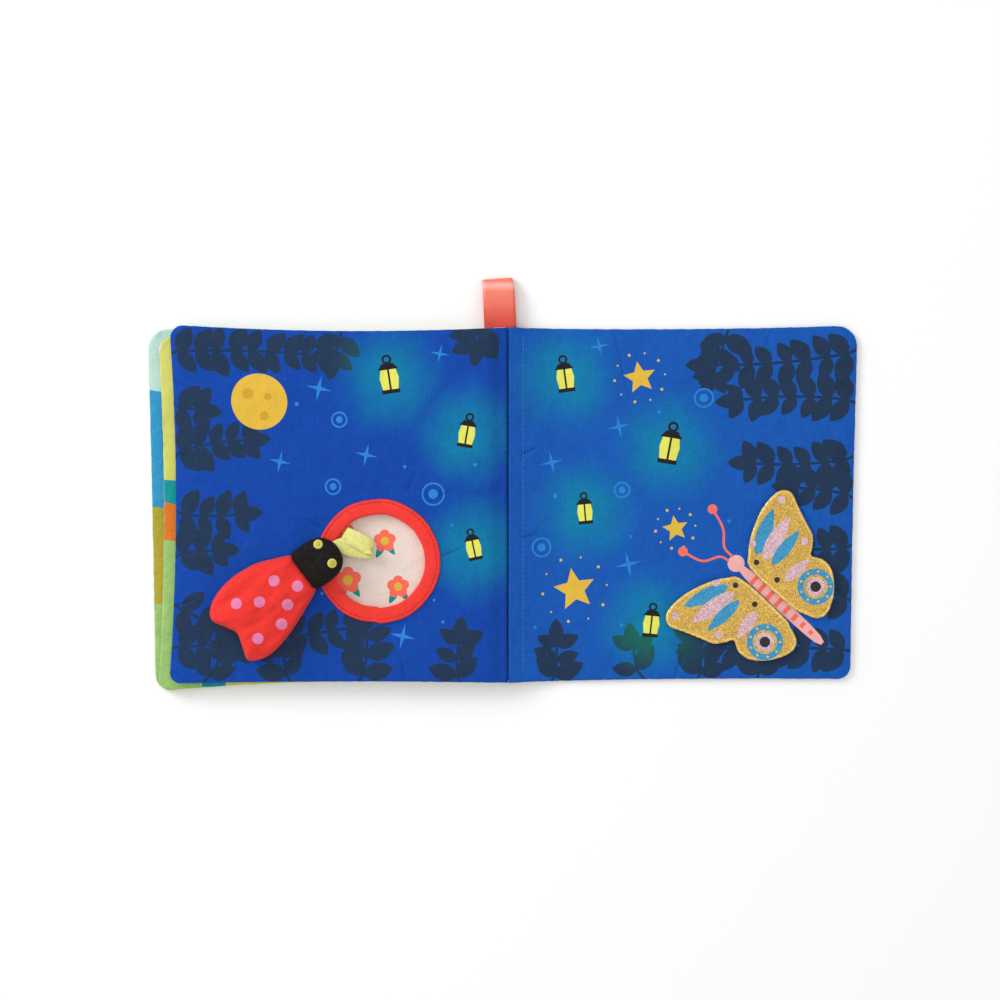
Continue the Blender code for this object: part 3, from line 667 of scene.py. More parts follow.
def grid(low, high, step):
    """Points of a grid of triangles between two corners."""
    wide, tall = high[0] - low[0], high[1] - low[1]
    rows, columns = (max(1, round(size / step)) for size in (tall, wide))
    return [
        Vector((low[0] + wide * ((column + row % 2 / 2) / (columns + 0.5)), low[1] + tall * row / rows))
        for row in range(rows + 1) for column in range(columns + 1)
    ]


def page_net(name, motifs, step, creased):
    """A net of triangles over the flat leaf with the motifs' edges in it, and their slots."""
    leaf, windowed = LEAVES[name], name == "window_leaf"
    half = step / 2
    top = LEAF_HEIGHT / 2 - half
    spots = [spot for inset in EDGE_ROWS for spot in flat_outline(leaf, inset) if spot.x > MM - FOLD_OUT]
    for spot in grid((half - FOLD_OUT, -top), (LEAF_WIDTH - half, top), step):
        clear = not windowed or (spot - WINDOW_IN_LEAF).length > CUT_RADIUS + half
        if clear and edge_inset(leaf, spot.x, spot.y) > EDGE_ROWS[-1] + 0.3 * step:
            spots.append(spot)
    if creased:
        spots += [spot for spot in crease_spots(name) if edge_inset(leaf, spot.x, spot.y) > EDGE_ROWS[0]]
    heights = np.linspace(2 * MM - top, top - 2 * MM, round(2 * top / step))
    for column in range(1, FOLD_STEPS):
        spots += [Vector((-FOLD_OUT * column / FOLD_STEPS, y)) for y in heights]
    kept = [(slot, [kept_inside(leaf, point, windowed) for point in points]) for slot, points in motifs]
    kept = [(slot, points) for slot, points in kept if abs(signed_area(points)) > LEAST_MOTIF]
    holes = [disc(WINDOW_IN_LEAF, CUT_RADIUS, 72)] if windowed else []
    return net_over(flat_outline(leaf), holes, kept, spots)


# A print: its materials, the first one the ground, motifs as (slot, outline in the flat leaf),
# and the slot whose cloth rolls over the edge to the leaf's underside
Print = namedtuple("Print", "looks motifs step rim", defaults=(0,))


def padded_leaf(name, upper, lower):
    """A leaf as one closed padded form, its two prints meeting at the edge seam."""
    leaf = LEAVES[name]
    points, faces, slots = [], [], []
    for facing, sheet in ((1, upper), (-1, lower)):
        net, triangles, net_slots = page_net(name, sheet.motifs, sheet.step, facing > 0)
        turn = facing * leaf.side
        faces += [[len(points) + i for i in triangle[::turn]] for triangle in triangles]
        points += list(leaf_points(name, net, facing))
        if facing < 0:
            inner = (leaf.start - leaf.fold) * np.minimum(1 + net[:, 0] / FOLD_OUT, 1)
            to_hinge = inner + np.maximum(net[:, 0], 0)
            inset = np.minimum(edge_inset(leaf, net[:, 0], net[:, 1]), to_hinge)
            rolled = [max(inset[i] for i in triangle) < ROLLED_EDGE for triangle in triangles]
            own = len(upper.looks)
            net_slots = [upper.rim if rim else own + slot for slot, rim in zip(net_slots, rolled)]
        slots += net_slots
    obj = add_mesh(f"{name}_padded_leaf", points, faces, upper.looks + lower.looks, slots)

    def at_window(edge):
        middle = (edge.verts[0].co + edge.verts[1].co) / 2
        return abs((middle.xy - WINDOW_CENTRE).length - CUT_RADIUS) < WINDOW_EDGE_SLACK

    return closed_up(obj, weld=True, slivers=True, bridged=at_window if name == "window_leaf" else None)


def page(across_share, up_share):
    """A flat point at these shares of the leaf's width and height."""
    return Vector((across_share * LEAF_WIDTH, up_share * LEAF_HEIGHT))


def star(centre, radius, inner_share, points, turn):
    reaches = (radius, radius * inner_share)
    return [centre + reaches[i % 2] * direction(turn + math.pi * i / points) for i in range(2 * points)]


# A leaf shape's outline: how far its widest place leans to the stalk, and how blunt it is
LENS_LEAN, LENS_BLUNTNESS = 0.85, 0.75


def lens(base, angle, length, width, count=9):
    """A leaf shape with pointed ends, from its stalk's end outward."""
    along, across = direction(angle), direction(angle + math.pi / 2)
    sides = [[], []]
    for i in range(count):
        share = i / (count - 1)
        reach = width / 2 * math.sin(math.pi * share**LENS_LEAN) ** LENS_BLUNTNESS
        for sign, side in zip((1, -1), sides):
            side.append(base + share * length * along + sign * reach * across)
    return sides[0] + sides[1][-2:0:-1]


def band(points, width):
    left, right = [], []
    for i, point in enumerate(points):
        ahead = points[min(i + 1, len(points) - 1)] - points[max(i - 1, 0)]
        across = Vector((-ahead.y, ahead.x)).normalized() * width / 2
        left.append(point + across)
        right.append(point - across)
    return left + right[::-1]


SPRIG_LEAF = 16.5 * MM
SPRIG_STEP = 11 * MM
STALK_WIDTH = 1.7 * MM
# Leaves on a sprig: shares of the full size at its foot and lost towards its end, the least and
# the most that each is drawn, its angle from the stalk, and widths as shares of the length
FOOT_SHARE, LOST_SHARE = 1.05, 0.2
LEAF_SIZES, LEAF_TURNS = (0.85, 1.12), (0.8, 1.2)
SIDE_LEAF_SHARE, END_LEAF_SHARE = 0.6, 0.56


def sprig(base, angle, length, bend):
    """A bending stalk with pointed leaves on both sides and one at its end."""
    draw = random.Random(round(1e6 * (base.x + base.y)))
    steps = max(2, round(length / SPRIG_STEP))
    turns = [angle + bend * i / steps for i in range(steps)]
    points = [base]
    for turn in turns:
        points.append(points[-1] + length / steps * direction(turn))
    motifs = [band(points, STALK_WIDTH)]
    for i, (point, turn) in enumerate(zip(points[1:], turns)):
        for sign in (1, -1):
            size = SPRIG_LEAF * (FOOT_SHARE - LOST_SHARE * i / steps) * draw.uniform(*LEAF_SIZES)
            aside = turn + sign * draw.uniform(*LEAF_TURNS)
            motifs.append(lens(point, aside, size, SIDE_LEAF_SHARE * size))
    motifs.append(lens(points[-1], turns[-1], SPRIG_LEAF, END_LEAF_SHARE * SPRIG_LEAF))
    return [(FOLIAGE_SLOT, motif) for motif in motifs]


def lantern(centre, size, turn):
    """A small hanging lantern: a dark frame and a lit pane."""
    up, side = direction(turn), direction(turn - math.pi / 2)

    def shape(*shares):
        return [centre + size * (across * side + high * up) for across, high in shares]

    middle = centre + size * 0.78 * up
    pane = ((0.31, -0.46), (0.38, 0), (0.31, 0.36))
    return [
        (INK_SLOT, disc(middle, 0.2 * size, 16)), (0, disc(middle, 0.11 * size, 12)),
        (INK_SLOT, shape((-0.42, 0.36), (-0.22, 0.62), (0.22, 0.62), (0.42, 0.36))),
        (INK_SLOT, shape((-0.36, -0.62), (-0.36, -0.46), (0.36, -0.46), (0.36, -0.62))),
        (LEMON_SLOT, shape(*((-s, z) for s, z in pane), *pane[::-1])),
        (INK_SLOT, band(shape((0, -0.5), (0, 0.4)), 0.08 * size)),
    ]


def cottons(name, **colours):
    return [printed_cotton(f"{name}_{kind}", colour) for kind, colour in colours.items()]


def night_cotton(name, glows, ground):
    lit = [
        printed_cotton(f"{name}_ground", ground, glows, GLOW),
        printed_cotton(f"{name}_foliage", FOLIAGE, glows, FOLIAGE_LIT),
    ]
    return lit + cottons(
        name, mustard=MUSTARD, lemon=LEMON, sky=SKY, ink=INK, coral=CORAL, pink=PINK, moon_shade=MOON_SHADE,
    )


# The night pages' slots, after the ground's
FOLIAGE_SLOT, MUSTARD_SLOT, LEMON_SLOT, SKY_SLOT, INK_SLOT, CORAL_SLOT, PINK_SLOT, SHADE_SLOT = range(1, 9)
# Each motif's shares of the page across and up come first. Then, for a sprig, its angle in
# degrees, length in millimetres and bend in degrees; for the others, a size in millimetres, and
# for a lantern the angle of its upright
LEFT_SPRIGS = (
    (1.03, 0.42, 174, 96, 12), (1.03, 0.28, 195, 20, -20), (1.03, 0.13, 160, 50, 20),
    (1.03, -0.02, 190, 44, -20), (1.03, -0.15, 165, 30, 20), (1.03, -0.28, 195, 24, 20),
    (1.03, -0.40, 178, 112, -8), (0.90, -0.53, 110, 22, 20), (0.64, -0.53, 75, 56, 34),
    (0.44, -0.53, 105, 44, -25), (0.14, -0.53, 80, 30, 25), (0.49, 0.53, 275, 22, 20),
    (0.07, 0.53, 285, 14, -10),
)
RIGHT_SPRIGS = (
    (1.03, 0.43, 190, 92, -12), (1.03, 0.28, 170, 74, 18), (1.03, 0.13, 190, 66, -16),
    (1.03, 0.01, 165, 40, 14), (0.62, 0.53, 262, 34, -20), (1.03, -0.12, 190, 30, -15),
    (1.03, -0.28, 165, 30, 15), (1.03, -0.42, 176, 96, 8), (0.72, -0.53, 85, 30, 20),
    (0.54, -0.53, 80, 40, 30), (0.38, -0.53, 110, 26, -20), (0.10, -0.53, 75, 28, 25),
)
LEFT_LANTERNS = ((0.35, 0.36, 15, 82), (0.12, 0.20, 13, 100), (0.10, -0.12, 12, 78))
RIGHT_LANTERNS = (
    (0.14, 0.36, 14, 98), (0.45, 0.16, 16, 80), (0.20, -0.02, 12, 95), (0.40, -0.34, 13, 84),
)
RIGHT_STARS = ((0.36, 0.36, 10), (0.17, -0.24, 13), (0.47, -0.07, 8))
LEFT_TWINKLES = ((0.56, 0.33, 8), (0.68, 0.12, 7), (0.42, 0.14, 7), (0.31, -0.37, 8), (0.2, 0.43, 6))
RIGHT_TWINKLES = ((0.30, 0.22, 7), (0.10, 0.12, 7), (0.33, -0.17, 8), (0.24, 0.45, 6))
LEFT_RINGS = ((0.22, 0.03, 7), (0.52, 0.05, 5), (0.50, 0.24, 5))
RIGHT_RINGS = ((0.55, 0.30, 6), (0.07, -0.12, 6), (0.31, 0.04, 5))
RING_LINE = 1.1 * MM
RING_DISC_SHARE = 0.42
# Small dots: how many are drawn, shares of the page that they lie in, radii and clearance
DOTS = 22
DOT_RANGE_SHARES = ((0.04, 0.68), (-0.42, 0.46))
DOT_RADII = (0.8, 1.5)
DOT_CLEARANCE = 15 * MM
# Stars: inner radius as a share of the outer, points and turn. Then the beads round a big one
TWINKLE, STAR = (0.2, 4, math.radians(12)), (0.46, 5, math.radians(100))
BEADS, BEADS_REACH_SHARE, BEAD_RADII = 10, 1.5, (0.6 * MM, 0.9 * MM)
LIT_LEVEL = 1.2 * MM


def places_lit(name, lanterns):
    """3D places of a page's lanterns, just above the leaf's middle."""
    leaf = LEAVES[name]
    places = []
    for across_share, up_share, *_ in lanterns:
        x, y = leaf_place(leaf, *np.array(page(across_share, up_share)))
        places.append((float(x), float(y), leaf.middle + LIT_LEVEL))
    return places


def night_print(name, leaf, ground, sprigs, lanterns, stars, twinkles, rings, seed, extra):
    """A night page: foliage, twinkles, rings and stars round lit lanterns."""
    motifs = []
    draw = random.Random(seed)
    busy = [page(*place[:2]) for place in (*lanterns, *stars, *twinkles, *rings)]
    for _ in range(DOTS):
        spot = page(*(draw.uniform(*ends) for ends in DOT_RANGE_SHARES))
        if min((spot - place).length for place in busy) > DOT_CLEARANCE:
            motifs.append((SKY_SLOT, disc(spot, draw.uniform(*DOT_RADII) * MM, 10)))
    for across, up, turn, length, bend in sprigs:
        motifs += sprig(page(across, up), math.radians(turn), length * MM, math.radians(bend))
    for across, up, size in rings:
        centre = page(across, up)
        radius = size * MM
        motifs += [(SKY_SLOT, disc(centre, radius)), (0, disc(centre, radius - RING_LINE))]
        motifs.append((SKY_SLOT, disc(centre, RING_DISC_SHARE * radius, 16)))
    for across, up, size in twinkles:
        motifs.append((SKY_SLOT, star(page(across, up), size * MM, *TWINKLE)))
    for across, up, size in stars:
        centre = page(across, up)
        motifs.append((MUSTARD_SLOT, star(centre, size * MM, *STAR)))
        for i in range(BEADS):
            spot = centre + BEADS_REACH_SHARE * size * MM * direction(math.tau * (i + 0.2) / BEADS)
            motifs.append((MUSTARD_SLOT, disc(spot, BEAD_RADII[i % 2], 8)))
    for across, up, size, turn in lanterns:
        motifs += lantern(page(across, up), size * MM, math.radians(turn))
    return Print(night_cotton(name, places_lit(leaf, lanterns), ground), motifs + extra, PAGE_STEP)


MOON_SHARES = (0.74, 0.29)
MOON_RADIUS = 17 * MM
# Patches on the moon: direction, then distance and radius in millimetres
MOON_PATCHES = ((0.6, 8, 3.4), (2.6, 6, 2.3), (4.4, 9, 2.8))


def moon():
    centre = page(*MOON_SHARES)
    motifs = [(MUSTARD_SLOT, disc(centre, MOON_RADIUS, 48))]
    for turn, reach, size in MOON_PATCHES:
        motifs.append((SHADE_SLOT, disc(centre + reach * MM * direction(turn), size * MM, 20)))
    return motifs


# The printed body's upper side, as shares of the wing's length along it and across
BUTTERFLY_SHARES = ((-0.08, 0.03), (0.04, 0.05), (0.5, 0.062), (0.85, 0.056), (1.0, 0.045), (1.07, 0.02))
FEELER_SHARES = (
    ((-0.2, 0.03), (-0.33, 0.04), (-0.47, 0.17), (-0.68, 0.24)),
    ((-0.2, -0.03), (-0.30, -0.06), (-0.40, -0.21), (-0.61, -0.27)),
)
BUTTERFLY_SHIFT = Vector((1.9 * MM, -1.5 * MM))
BUTTERFLY_HEAD_SHARE = -0.13
BUTTERFLY_HEAD_RADIUS = 5.1 * MM
FEELER_WIDTH, FEELER_TIP_RADIUS = 1.4 * MM, 2.9 * MM
# Stripes across the body, as shares of its length: first place, spacing, depth and half width,
# and how fast that shrinks
STRIPES = 8
STRIPE_START_SHARE, STRIPE_SPACING_SHARE, STRIPE_SHARE = 0.1, 0.112, 0.045
STRIPE_HALF_SHARE, STRIPE_SHRINK_SHARE = 0.06, 0.0008


def printed_butterfly():
    """The printed body, head and feelers between the fabric wings, on the flat right leaf."""
    head = WING_HEAD - Vector((LEAVES["back_cover"].start, 0)) + BUTTERFLY_SHIFT

    def spots(*shares):
        return [head + s * WING_LENGTH * WING_ALONG + t * WING_LENGTH * WING_OUT for s, t in shares]

    lower = [(s, -t) for s, t in BUTTERFLY_SHARES[::-1]]
    motifs = [(PINK_SLOT, spots(*BUTTERFLY_SHARES, *lower))]
    for i in range(STRIPES):
        s = STRIPE_START_SHARE + STRIPE_SPACING_SHARE * i
        end, wide = s + STRIPE_SHARE, STRIPE_HALF_SHARE - STRIPE_SHRINK_SHARE * i**2
        motifs.append((CORAL_SLOT, spots((s, wide), (end, wide), (end, -wide), (s, -wide))))
    motifs.append((PINK_SLOT, disc(*spots((BUTTERFLY_HEAD_SHARE, 0)), BUTTERFLY_HEAD_RADIUS)))
    for route in FEELER_SHARES:
        points = smooth_route(spots(*route), 6)
        motifs.append((CORAL_SLOT, band(points, FEELER_WIDTH)))
        motifs.append((CORAL_SLOT, disc(points[-1], FEELER_TIP_RADIUS, 18)))
    return motifs


def hills(bands, wave, phase):
    """Blocks of colour, each under a wavy line: (slot, in from the fold, top, bottom)."""
    motifs = []
    for slot, inner, top, bottom in bands:
        shares = [inner + (1 - inner) * i / 24 for i in range(25)]
        edge = [page(share, top + wave * math.sin(phase + slot + 9 * share)) for share in shares]
        side = [page(1.02, top + (bottom - top) * i / 30) for i in range(31)]
        foot = [page(1.02 + (inner - 1.02) * i / 30, bottom - 0.02) for i in range(31)]
        motifs.append((slot, edge + side + foot))
    return motifs


def flowers(slots, spots):
    """Round flowers with a heart and two leaves."""
    petal, heart, green = slots
    motifs = []
    for across, up, size in spots:
        centre, size = page(across, up), size * MM
        motifs.append((green, lens(centre, -1.1, 2.3 * size, 0.9 * size)))
        motifs.append((green, lens(centre, -2.2, 2.1 * size, 0.8 * size)))
        for i in range(5):
            middle = centre + size * 0.75 * direction(math.tau * i / 5 + 0.3)
            motifs.append((petal, disc(middle, 0.62 * size, 14)))
        motifs.append((heart, disc(centre, 0.5 * size, 14)))
    return motifs


def plain_print(name, ground, accent, second, shape):
    """A quiet print for a face that doesn't show when the book lies open."""
    motifs = []
    for row in range(7):
        for column in range(6):
            centre = page((column + 0.6 + 0.5 * (row % 2)) / 6.6, (row - 3) / 7.2)
            motifs.append((1 + (row + column) % 2, shape(centre, row)))
    return Print(cottons(name, ground=ground, accent=accent, second=second), motifs, PLAIN_STEP)


def numbered_cottons(name, *colours):
    return cottons(name, **{str(i): colour for i, colour in enumerate(colours)})


def meadow_print():
    """The middle leaf's page: a pale ground with flowers, and hills towards the edges."""
    looks = numbered_cottons("meadow", PAPER, LIME, TEAL, ORANGE, LEAF_GREEN, CORAL, MUSTARD, WING_BLUE)
    bands = ((1, 0.78, 0.56, -0.5), (2, 0.84, 0.12, -0.5), (3, 0.82, 0.03, -0.5), (4, 0.8, -0.1, -0.5))
    motifs = hills(bands, 0.03, 0.7)
    foot_bands = ((1, -0.03, -0.44, -0.52), (2, 0.8, -0.45, -0.52), (4, 0.87, -0.4, -0.52))
    motifs += hills(foot_bands, 0.012, 1.4)
    spots = (
        (0.33, -0.10, 5), (0.44, -0.21, 6), (0.29, -0.23, 5), (0.45, -0.07, 4), (0.1, 0.3, 7),
        (0.3, 0.2, 6), (0.55, 0.32, 7), (0.6, 0.05, 6), (0.12, -0.02, 6), (0.15, -0.33, 6),
    )
    return Print(looks, motifs + flowers((5, 6, 2), spots), PLAIN_STEP / 1.5, 1)


def shore_print():
    """The front cover's inner face: sky, water and field blocks."""
    looks = numbered_cottons("shore", AQUA, WING_BLUE, OLIVE, LEAF_GREEN, MUSTARD)
    bands = ((1, -0.03, 0.34, -0.52), (2, -0.03, 0.0, -0.52), (3, -0.03, -0.28, -0.52))
    return Print(looks, hills(bands, 0.02, 2.0), PLAIN_STEP, 3)


def leaf_prints():
    """The upper and lower print of each leaf."""
    def leaf_shape(centre, row):
        return lens(centre, 0.8 + row, 17 * MM, 8 * MM)

    def star_shape(centre, row):
        return star(centre, 7 * MM, 0.5, 5, row)

    def dot_shape(centre, row):
        return disc(centre, 5 * MM, 20)

    return {
        "front_cover": (shore_print(), plain_print("front_outside", AQUA, CORAL, TEAL, leaf_shape)),
        "middle_leaf": (meadow_print(), plain_print("middle_under", PINK, CORAL, MUSTARD, star_shape)),
        "window_leaf": (
            night_print(
                "left_night", "window_leaf", NIGHT_LEFT_PAINTED_SHADE, LEFT_SPRIGS, LEFT_LANTERNS, (), LEFT_TWINKLES,
                LEFT_RINGS, 4, moon(),
            ),
            plain_print("window_under", LIME, TEAL, OLIVE, dot_shape),
        ),
        "back_cover": (
            night_print(
                "right_night", "back_cover", NIGHT_RIGHT_PAINTED_LIGHT, RIGHT_SPRIGS, RIGHT_LANTERNS, RIGHT_STARS,
                RIGHT_TWINKLES, RIGHT_RINGS, 9, printed_butterfly(),
            ),
            plain_print("back_outside", COVER_YELLOW, ORANGE, TEAL, star_shape),
        ),
    }


# For finding a surface from above
RAY_HEIGHT = 20 * MM
DOWN = Vector((0, 0, -1))


def lofted(name, loops, looks, joined=False):
    """A surface through loops of equally many points, its ends capped or joined to each other."""
    count = len(loops[0])
    points = [point for loop in loops for point in loop]
    pairs = list(zip(range(len(loops)), range(1, len(loops))))
    if joined:
        pairs.append((len(loops) - 1, 0))
    faces = []
    for low, high in pairs:
        for i in range(count):
            j = (i + 1) % count
            faces.append((low * count + i, low * count + j, high * count + j, high * count + i))
    if not joined:
        for loop, first in ((loops[0], 0), (loops[-1], (len(loops) - 1) * count)):
            points.append(middle_of(loop))
            faces += [(first + i, first + (i + 1) % count, len(points) - 1) for i in range(count)]
    return closed_up(add_mesh(name, points, faces, looks))


# A ribbon's selvedges: the share of its thickness that they lose, and how late they start to
SELVEDGE_LOSS_SHARE, SELVEDGE_POWER = 0.5, 8


def ribbon(name, centres, sides, width, thickness, look, columns=6):
    """A woven strip along centres, its width along sides, closed, with rounded selvedges."""
    loops = []
    for i, centre in enumerate(centres):
        ahead = (centres[min(i + 1, len(centres) - 1)] - centres[max(i - 1, 0)]).normalized()
        side = (sides[i] - ahead * sides[i].dot(ahead)).normalized()
        up = side.cross(ahead).normalized()
        top, bottom = [], []
        for column in range(columns + 1):
            share = 2 * column / columns - 1
            thin = thickness / 2 * (1 - SELVEDGE_LOSS_SHARE * share**SELVEDGE_POWER)
            middle = centre + side * share * width / 2
            top.append(middle + up * thin)
            bottom.append(middle - up * thin)
        loops.append(top + bottom[::-1])
    return lofted(name, loops, [look])


# Along a stitch: shares of half its length and of its radius
STITCH_ROWS = ((-1, 0.2), (-0.7, 0.8), (0, 1), (0.7, 0.8), (1, 0.2))
STITCH_SIDES = 6
STITCH_FLATNESS = 0.7


def stitches(name, path, look, length, gap, radius, lift=0, closed=False):
    """A running stitch: one small bead of thread after another along a path."""
    ends = [Vector(point) for point in path]
    if closed:
        ends.append(ends[0])
    walked = [0]
    for a, b in zip(ends, ends[1:]):
        walked.append(walked[-1] + (b - a).length)
    count = int(walked[-1] / (length + gap))
    points, faces = [], []
    at = 0
    for i in range(count):
        middle = walked[-1] * (i + 0.5) / count
        while walked[at + 1] < middle:
            at += 1
        along = (ends[at + 1] - ends[at]).normalized()
        centre = ends[at] + along * (middle - walked[at]) + Vector((0, 0, lift))
        side = Vector((-along.y, along.x, 0)).normalized()
        up = along.cross(side)
        rows = []
        for reach, wide in STITCH_ROWS:
            rows.append(list(range(len(points), len(points) + STITCH_SIDES)))
            for k in range(STITCH_SIDES):
                turn = math.tau * k / STITCH_SIDES
                spread = side * math.cos(turn) + up * math.sin(turn) * STITCH_FLATNESS
                points.append(centre + along * reach * length / 2 + spread * wide * radius)
        for low, high in zip(rows, rows[1:]):
            faces += [(low[k - 1], low[k], high[k], high[k - 1]) for k in range(STITCH_SIDES)]
        faces += [rows[0][::-1], rows[-1]]
    return closed_up(add_mesh(name, points, faces, [look]))


# The ring's upper half, in millimetres: out from its inner edge, above its middle
RING_PROFILE = (
    (0.0, 0.6), (0.05, 1.2), (0.3, 1.75), (0.9, 2.07), (2.2, 2.15), (4.4, 2.13), (6.2, 2.06),
    (6.85, 1.93), (7.2, 1.6), (7.55, 1.9), (8.2, 1.92), (8.8, 1.68), (9.15, 1.3), (9.1, 0.98),
    (4.5, 0.96), (0.95, 0.95),
)
RING_STEPS = 216
RING_STITCH_RADIUS = WINDOW_RADIUS + 7.2 * MM
RING_STITCH_LEVEL = 1.72 * MM
# Heights from the ring's middle, in millimetres, over which its cloth ripples and the join shows
RIPPLES_OVER, JOIN_OVER = 1.5, 1
# Waves of the ring's cloth and of its edge: depth in millimetres, how fine, seed
RING_RIPPLES = ((0.28, 7, 2), (0.2, 26, 5))
RING_DRIFT = (0.35, 3, 9)
# At the join, in millimetres and degrees: how far the cloth past it stands proud and over what
# stretch, the same for the cloth's edge before it, and how far that end is drawn inward
JOIN_LAP = (0.7, 25)
JOIN_EDGE = (0.6, 3.5)
JOIN_INWARD = (0.7, 20)
JOIN_STITCH_LEVEL = 1.95 * MM
JOIN_STITCH_ASIDE = 0.9 * MM
JOIN_STITCH_STEPS = (0.6, 3, 5, 7)
# Length, gap and radius of the stitches
JOIN_STITCH = (1.3 * MM, 0.2 * MM, 0.4 * MM)
RING_STITCH = (2.1 * MM, 0.8 * MM, 0.36 * MM)


def wave_at(toward, depth, fine, seed):
    return depth * noise.noise(Vector((*(toward * fine), seed)))


def ring_loop(turn, profile, middle):
    """One cross-section of the window's ring, in the direction turn."""
    toward = direction(turn)
    ripple = abs(sum(wave_at(toward, *wave) for wave in RING_RIPPLES))
    drift = wave_at(toward, *RING_DRIFT)
    past_join = math.degrees((turn + math.pi / 2 + math.pi) % math.tau - math.pi)
    proud, inward = JOIN_LAP[0] * max(0, 1 - past_join / JOIN_LAP[1]), 0
    if past_join < 0:
        proud = JOIN_EDGE[0] * (past_join > -JOIN_EDGE[1])
        inward = JOIN_INWARD[0] * max(0, 1 + past_join / JOIN_INWARD[1])
    loop = []
    for point in profile:
        high = abs(point.y) / MM
        swell = ripple * max(0, high - RIPPLES_OVER) + (proud if high > JOIN_OVER else 0)
        reach = WINDOW_RADIUS + point.x + (drift - inward) * MM
        level = middle + point.y + math.copysign(swell * MM, point.y)
        loop.append((*(WINDOW_CENTRE + reach * toward), level))
    return loop


def window_ring():
    """The padded binding round the window, with its stitch groove and the join at its foot."""
    half = [Vector(point) * MM for point in RING_PROFILE]
    profile = half + [Vector((point.x, -point.y)) for point in half[::-1]]
    middle = LEAVES["window_leaf"].middle
    loops = [ring_loop(math.tau * step / RING_STEPS, profile, middle) for step in range(RING_STEPS)]
    look = plain_cloth("ring_cotton", RING_RED, 0.85, 0.42, 0.8, specular_ior_level=0.2)
    ring = lofted("window_ring", loops, [look], joined=True)
    stand_in(ring, "window_leaf", "red_binding", "window_binding")
    thread = thread_look("ring_thread", RING_STITCH_RED)
    foot = WINDOW_CENTRE - Vector((JOIN_STITCH_ASIDE, WINDOW_RADIUS))
    path = [(foot.x, foot.y - step * MM, middle + JOIN_STITCH_LEVEL) for step in JOIN_STITCH_STEPS]
    join = stitches("ring_join_stitching", path, thread, *JOIN_STITCH)
    stand_in(join, "window_leaf", "red_binding")
    for side, name in ((1, "ring_stitching"), (-1, "ring_stitching_under")):
        level = middle + side * RING_STITCH_LEVEL
        path = [(*spot, level) for spot in disc(WINDOW_CENTRE, RING_STITCH_RADIUS, 180)]
        row = stitches(name, path, thread, *RING_STITCH, closed=True)
        stand_in(row, "window_leaf", "red_binding")


# Shares of the toy's body length: back from the neck, and across. As in the CAD model, but for
# the squarer front, which tucks under the head
BODY_OUTLINE_SHARES = (
    (-0.025, -0.06), (-0.025, -0.15), (-0.015, -0.2), (0.06, -0.24), (0.14, -0.275), (0.34, -0.35),
    (0.59, -0.37), (0.80, -0.33), (0.94, -0.25), (0.99, -0.15), (0.92, -0.01), (0.87, 0.10),
    (0.91, 0.25), (0.94, 0.37), (0.84, 0.44), (0.70, 0.46), (0.52, 0.43), (0.31, 0.36),
    (0.13, 0.285), (0.05, 0.25), (-0.015, 0.21), (-0.025, 0.15), (-0.025, 0.06),
)
# Shares of the head's length: forward from the neck, and across
HEAD_OUTLINE_SHARES = (
    (0.0, -0.20), (0.03, -0.48), (0.26, -0.53), (0.55, -0.52), (0.85, -0.42), (1.03, -0.18),
    (1.06, 0.06), (1.0, 0.31), (0.8, 0.5), (0.5, 0.56), (0.2, 0.55), (0.03, 0.49), (0.0, 0.20),
)
# Shares of a stuffed form's outline and height, from under its middle round to its top
STUFFED_SHARES = (
    (0.35, 0.0), (0.7, 0.0), (0.88, 0.005), (0.955, 0.05), (0.985, 0.14), (0.99, 0.22),
    (1.008, 0.25), (1.008, 0.275), (0.99, 0.3), (0.988, 0.42), (0.97, 0.6), (0.93, 0.76),
    (0.86, 0.87), (0.76, 0.93), (0.62, 0.965), (0.45, 0.985), (0.28, 1.0), (0.12, 1.0),
)
# Shares of the toy's body length, back from the neck and across, of the spots on its back
SPOT_SHARES = (
    (0.252, -0.097), (0.098, 0.083), (0.687, -0.139), (0.491, -0.014), (0.286, 0.173),
    (0.450, 0.289), (0.722, 0.265),
)
SPOT_RADIUS = 3.3 * MM
SPOT_EDGE = 0.12 * MM
# Folds of the stuffed cloth: lengths along the toy and across it, then the shares of a fold's
# depth that the cloth sinks everywhere, at soft folds and at fine ones
SOFT_FOLD = (17 * MM, 9 * MM)
FINE_FOLD = (9 * MM, 4 * MM)
SUNK_SHARE, SOFT_SHARE, FINE_SHARE = 0.55, 1.1, 0.5
BODY_FOLD, HEAD_FOLD, FILLING_FOLD = 2.2 * MM, 0.7 * MM, 0.6 * MM
FILLING_SHARE = 0.86
FILLING_LIFT = 1.2 * MM
FILLING_LOWER = 4.2 * MM


def toy_place(along, across):
    """A point of the toy, along its body from the neck towards the tail, and across it."""
    return TOY_NECK - along * TOY_FORWARD + across * TOY_SIDEWAYS


def stuffed(name, outline, base, height, look, fold, seed):
    """A closed stuffed form over an outline, with a seam round it and soft folds."""
    centre = middle_of(outline)
    loops = []
    for share in smooth_route(STUFFED_SHARES, 3):
        loop = []
        for point in outline:
            spot = centre + (point - centre) * share.x
            along, across = ((spot - TOY_NECK).dot(way) for way in (TOY_FORWARD, TOY_SIDEWAYS))
            soft = noise.noise(Vector((along / SOFT_FOLD[0], across / SOFT_FOLD[1], seed)))
            fine = noise.noise(Vector((along / FINE_FOLD[0], across / FINE_FOLD[1], seed + 3)))
            sunk = fold * share.y * (SUNK_SHARE + SOFT_SHARE * soft + FINE_SHARE * fine)
            loop.append((spot.x, spot.y, base + share.y * height - max(0, sunk)))
        loops.append(loop)
    return lofted(name, loops, [look])


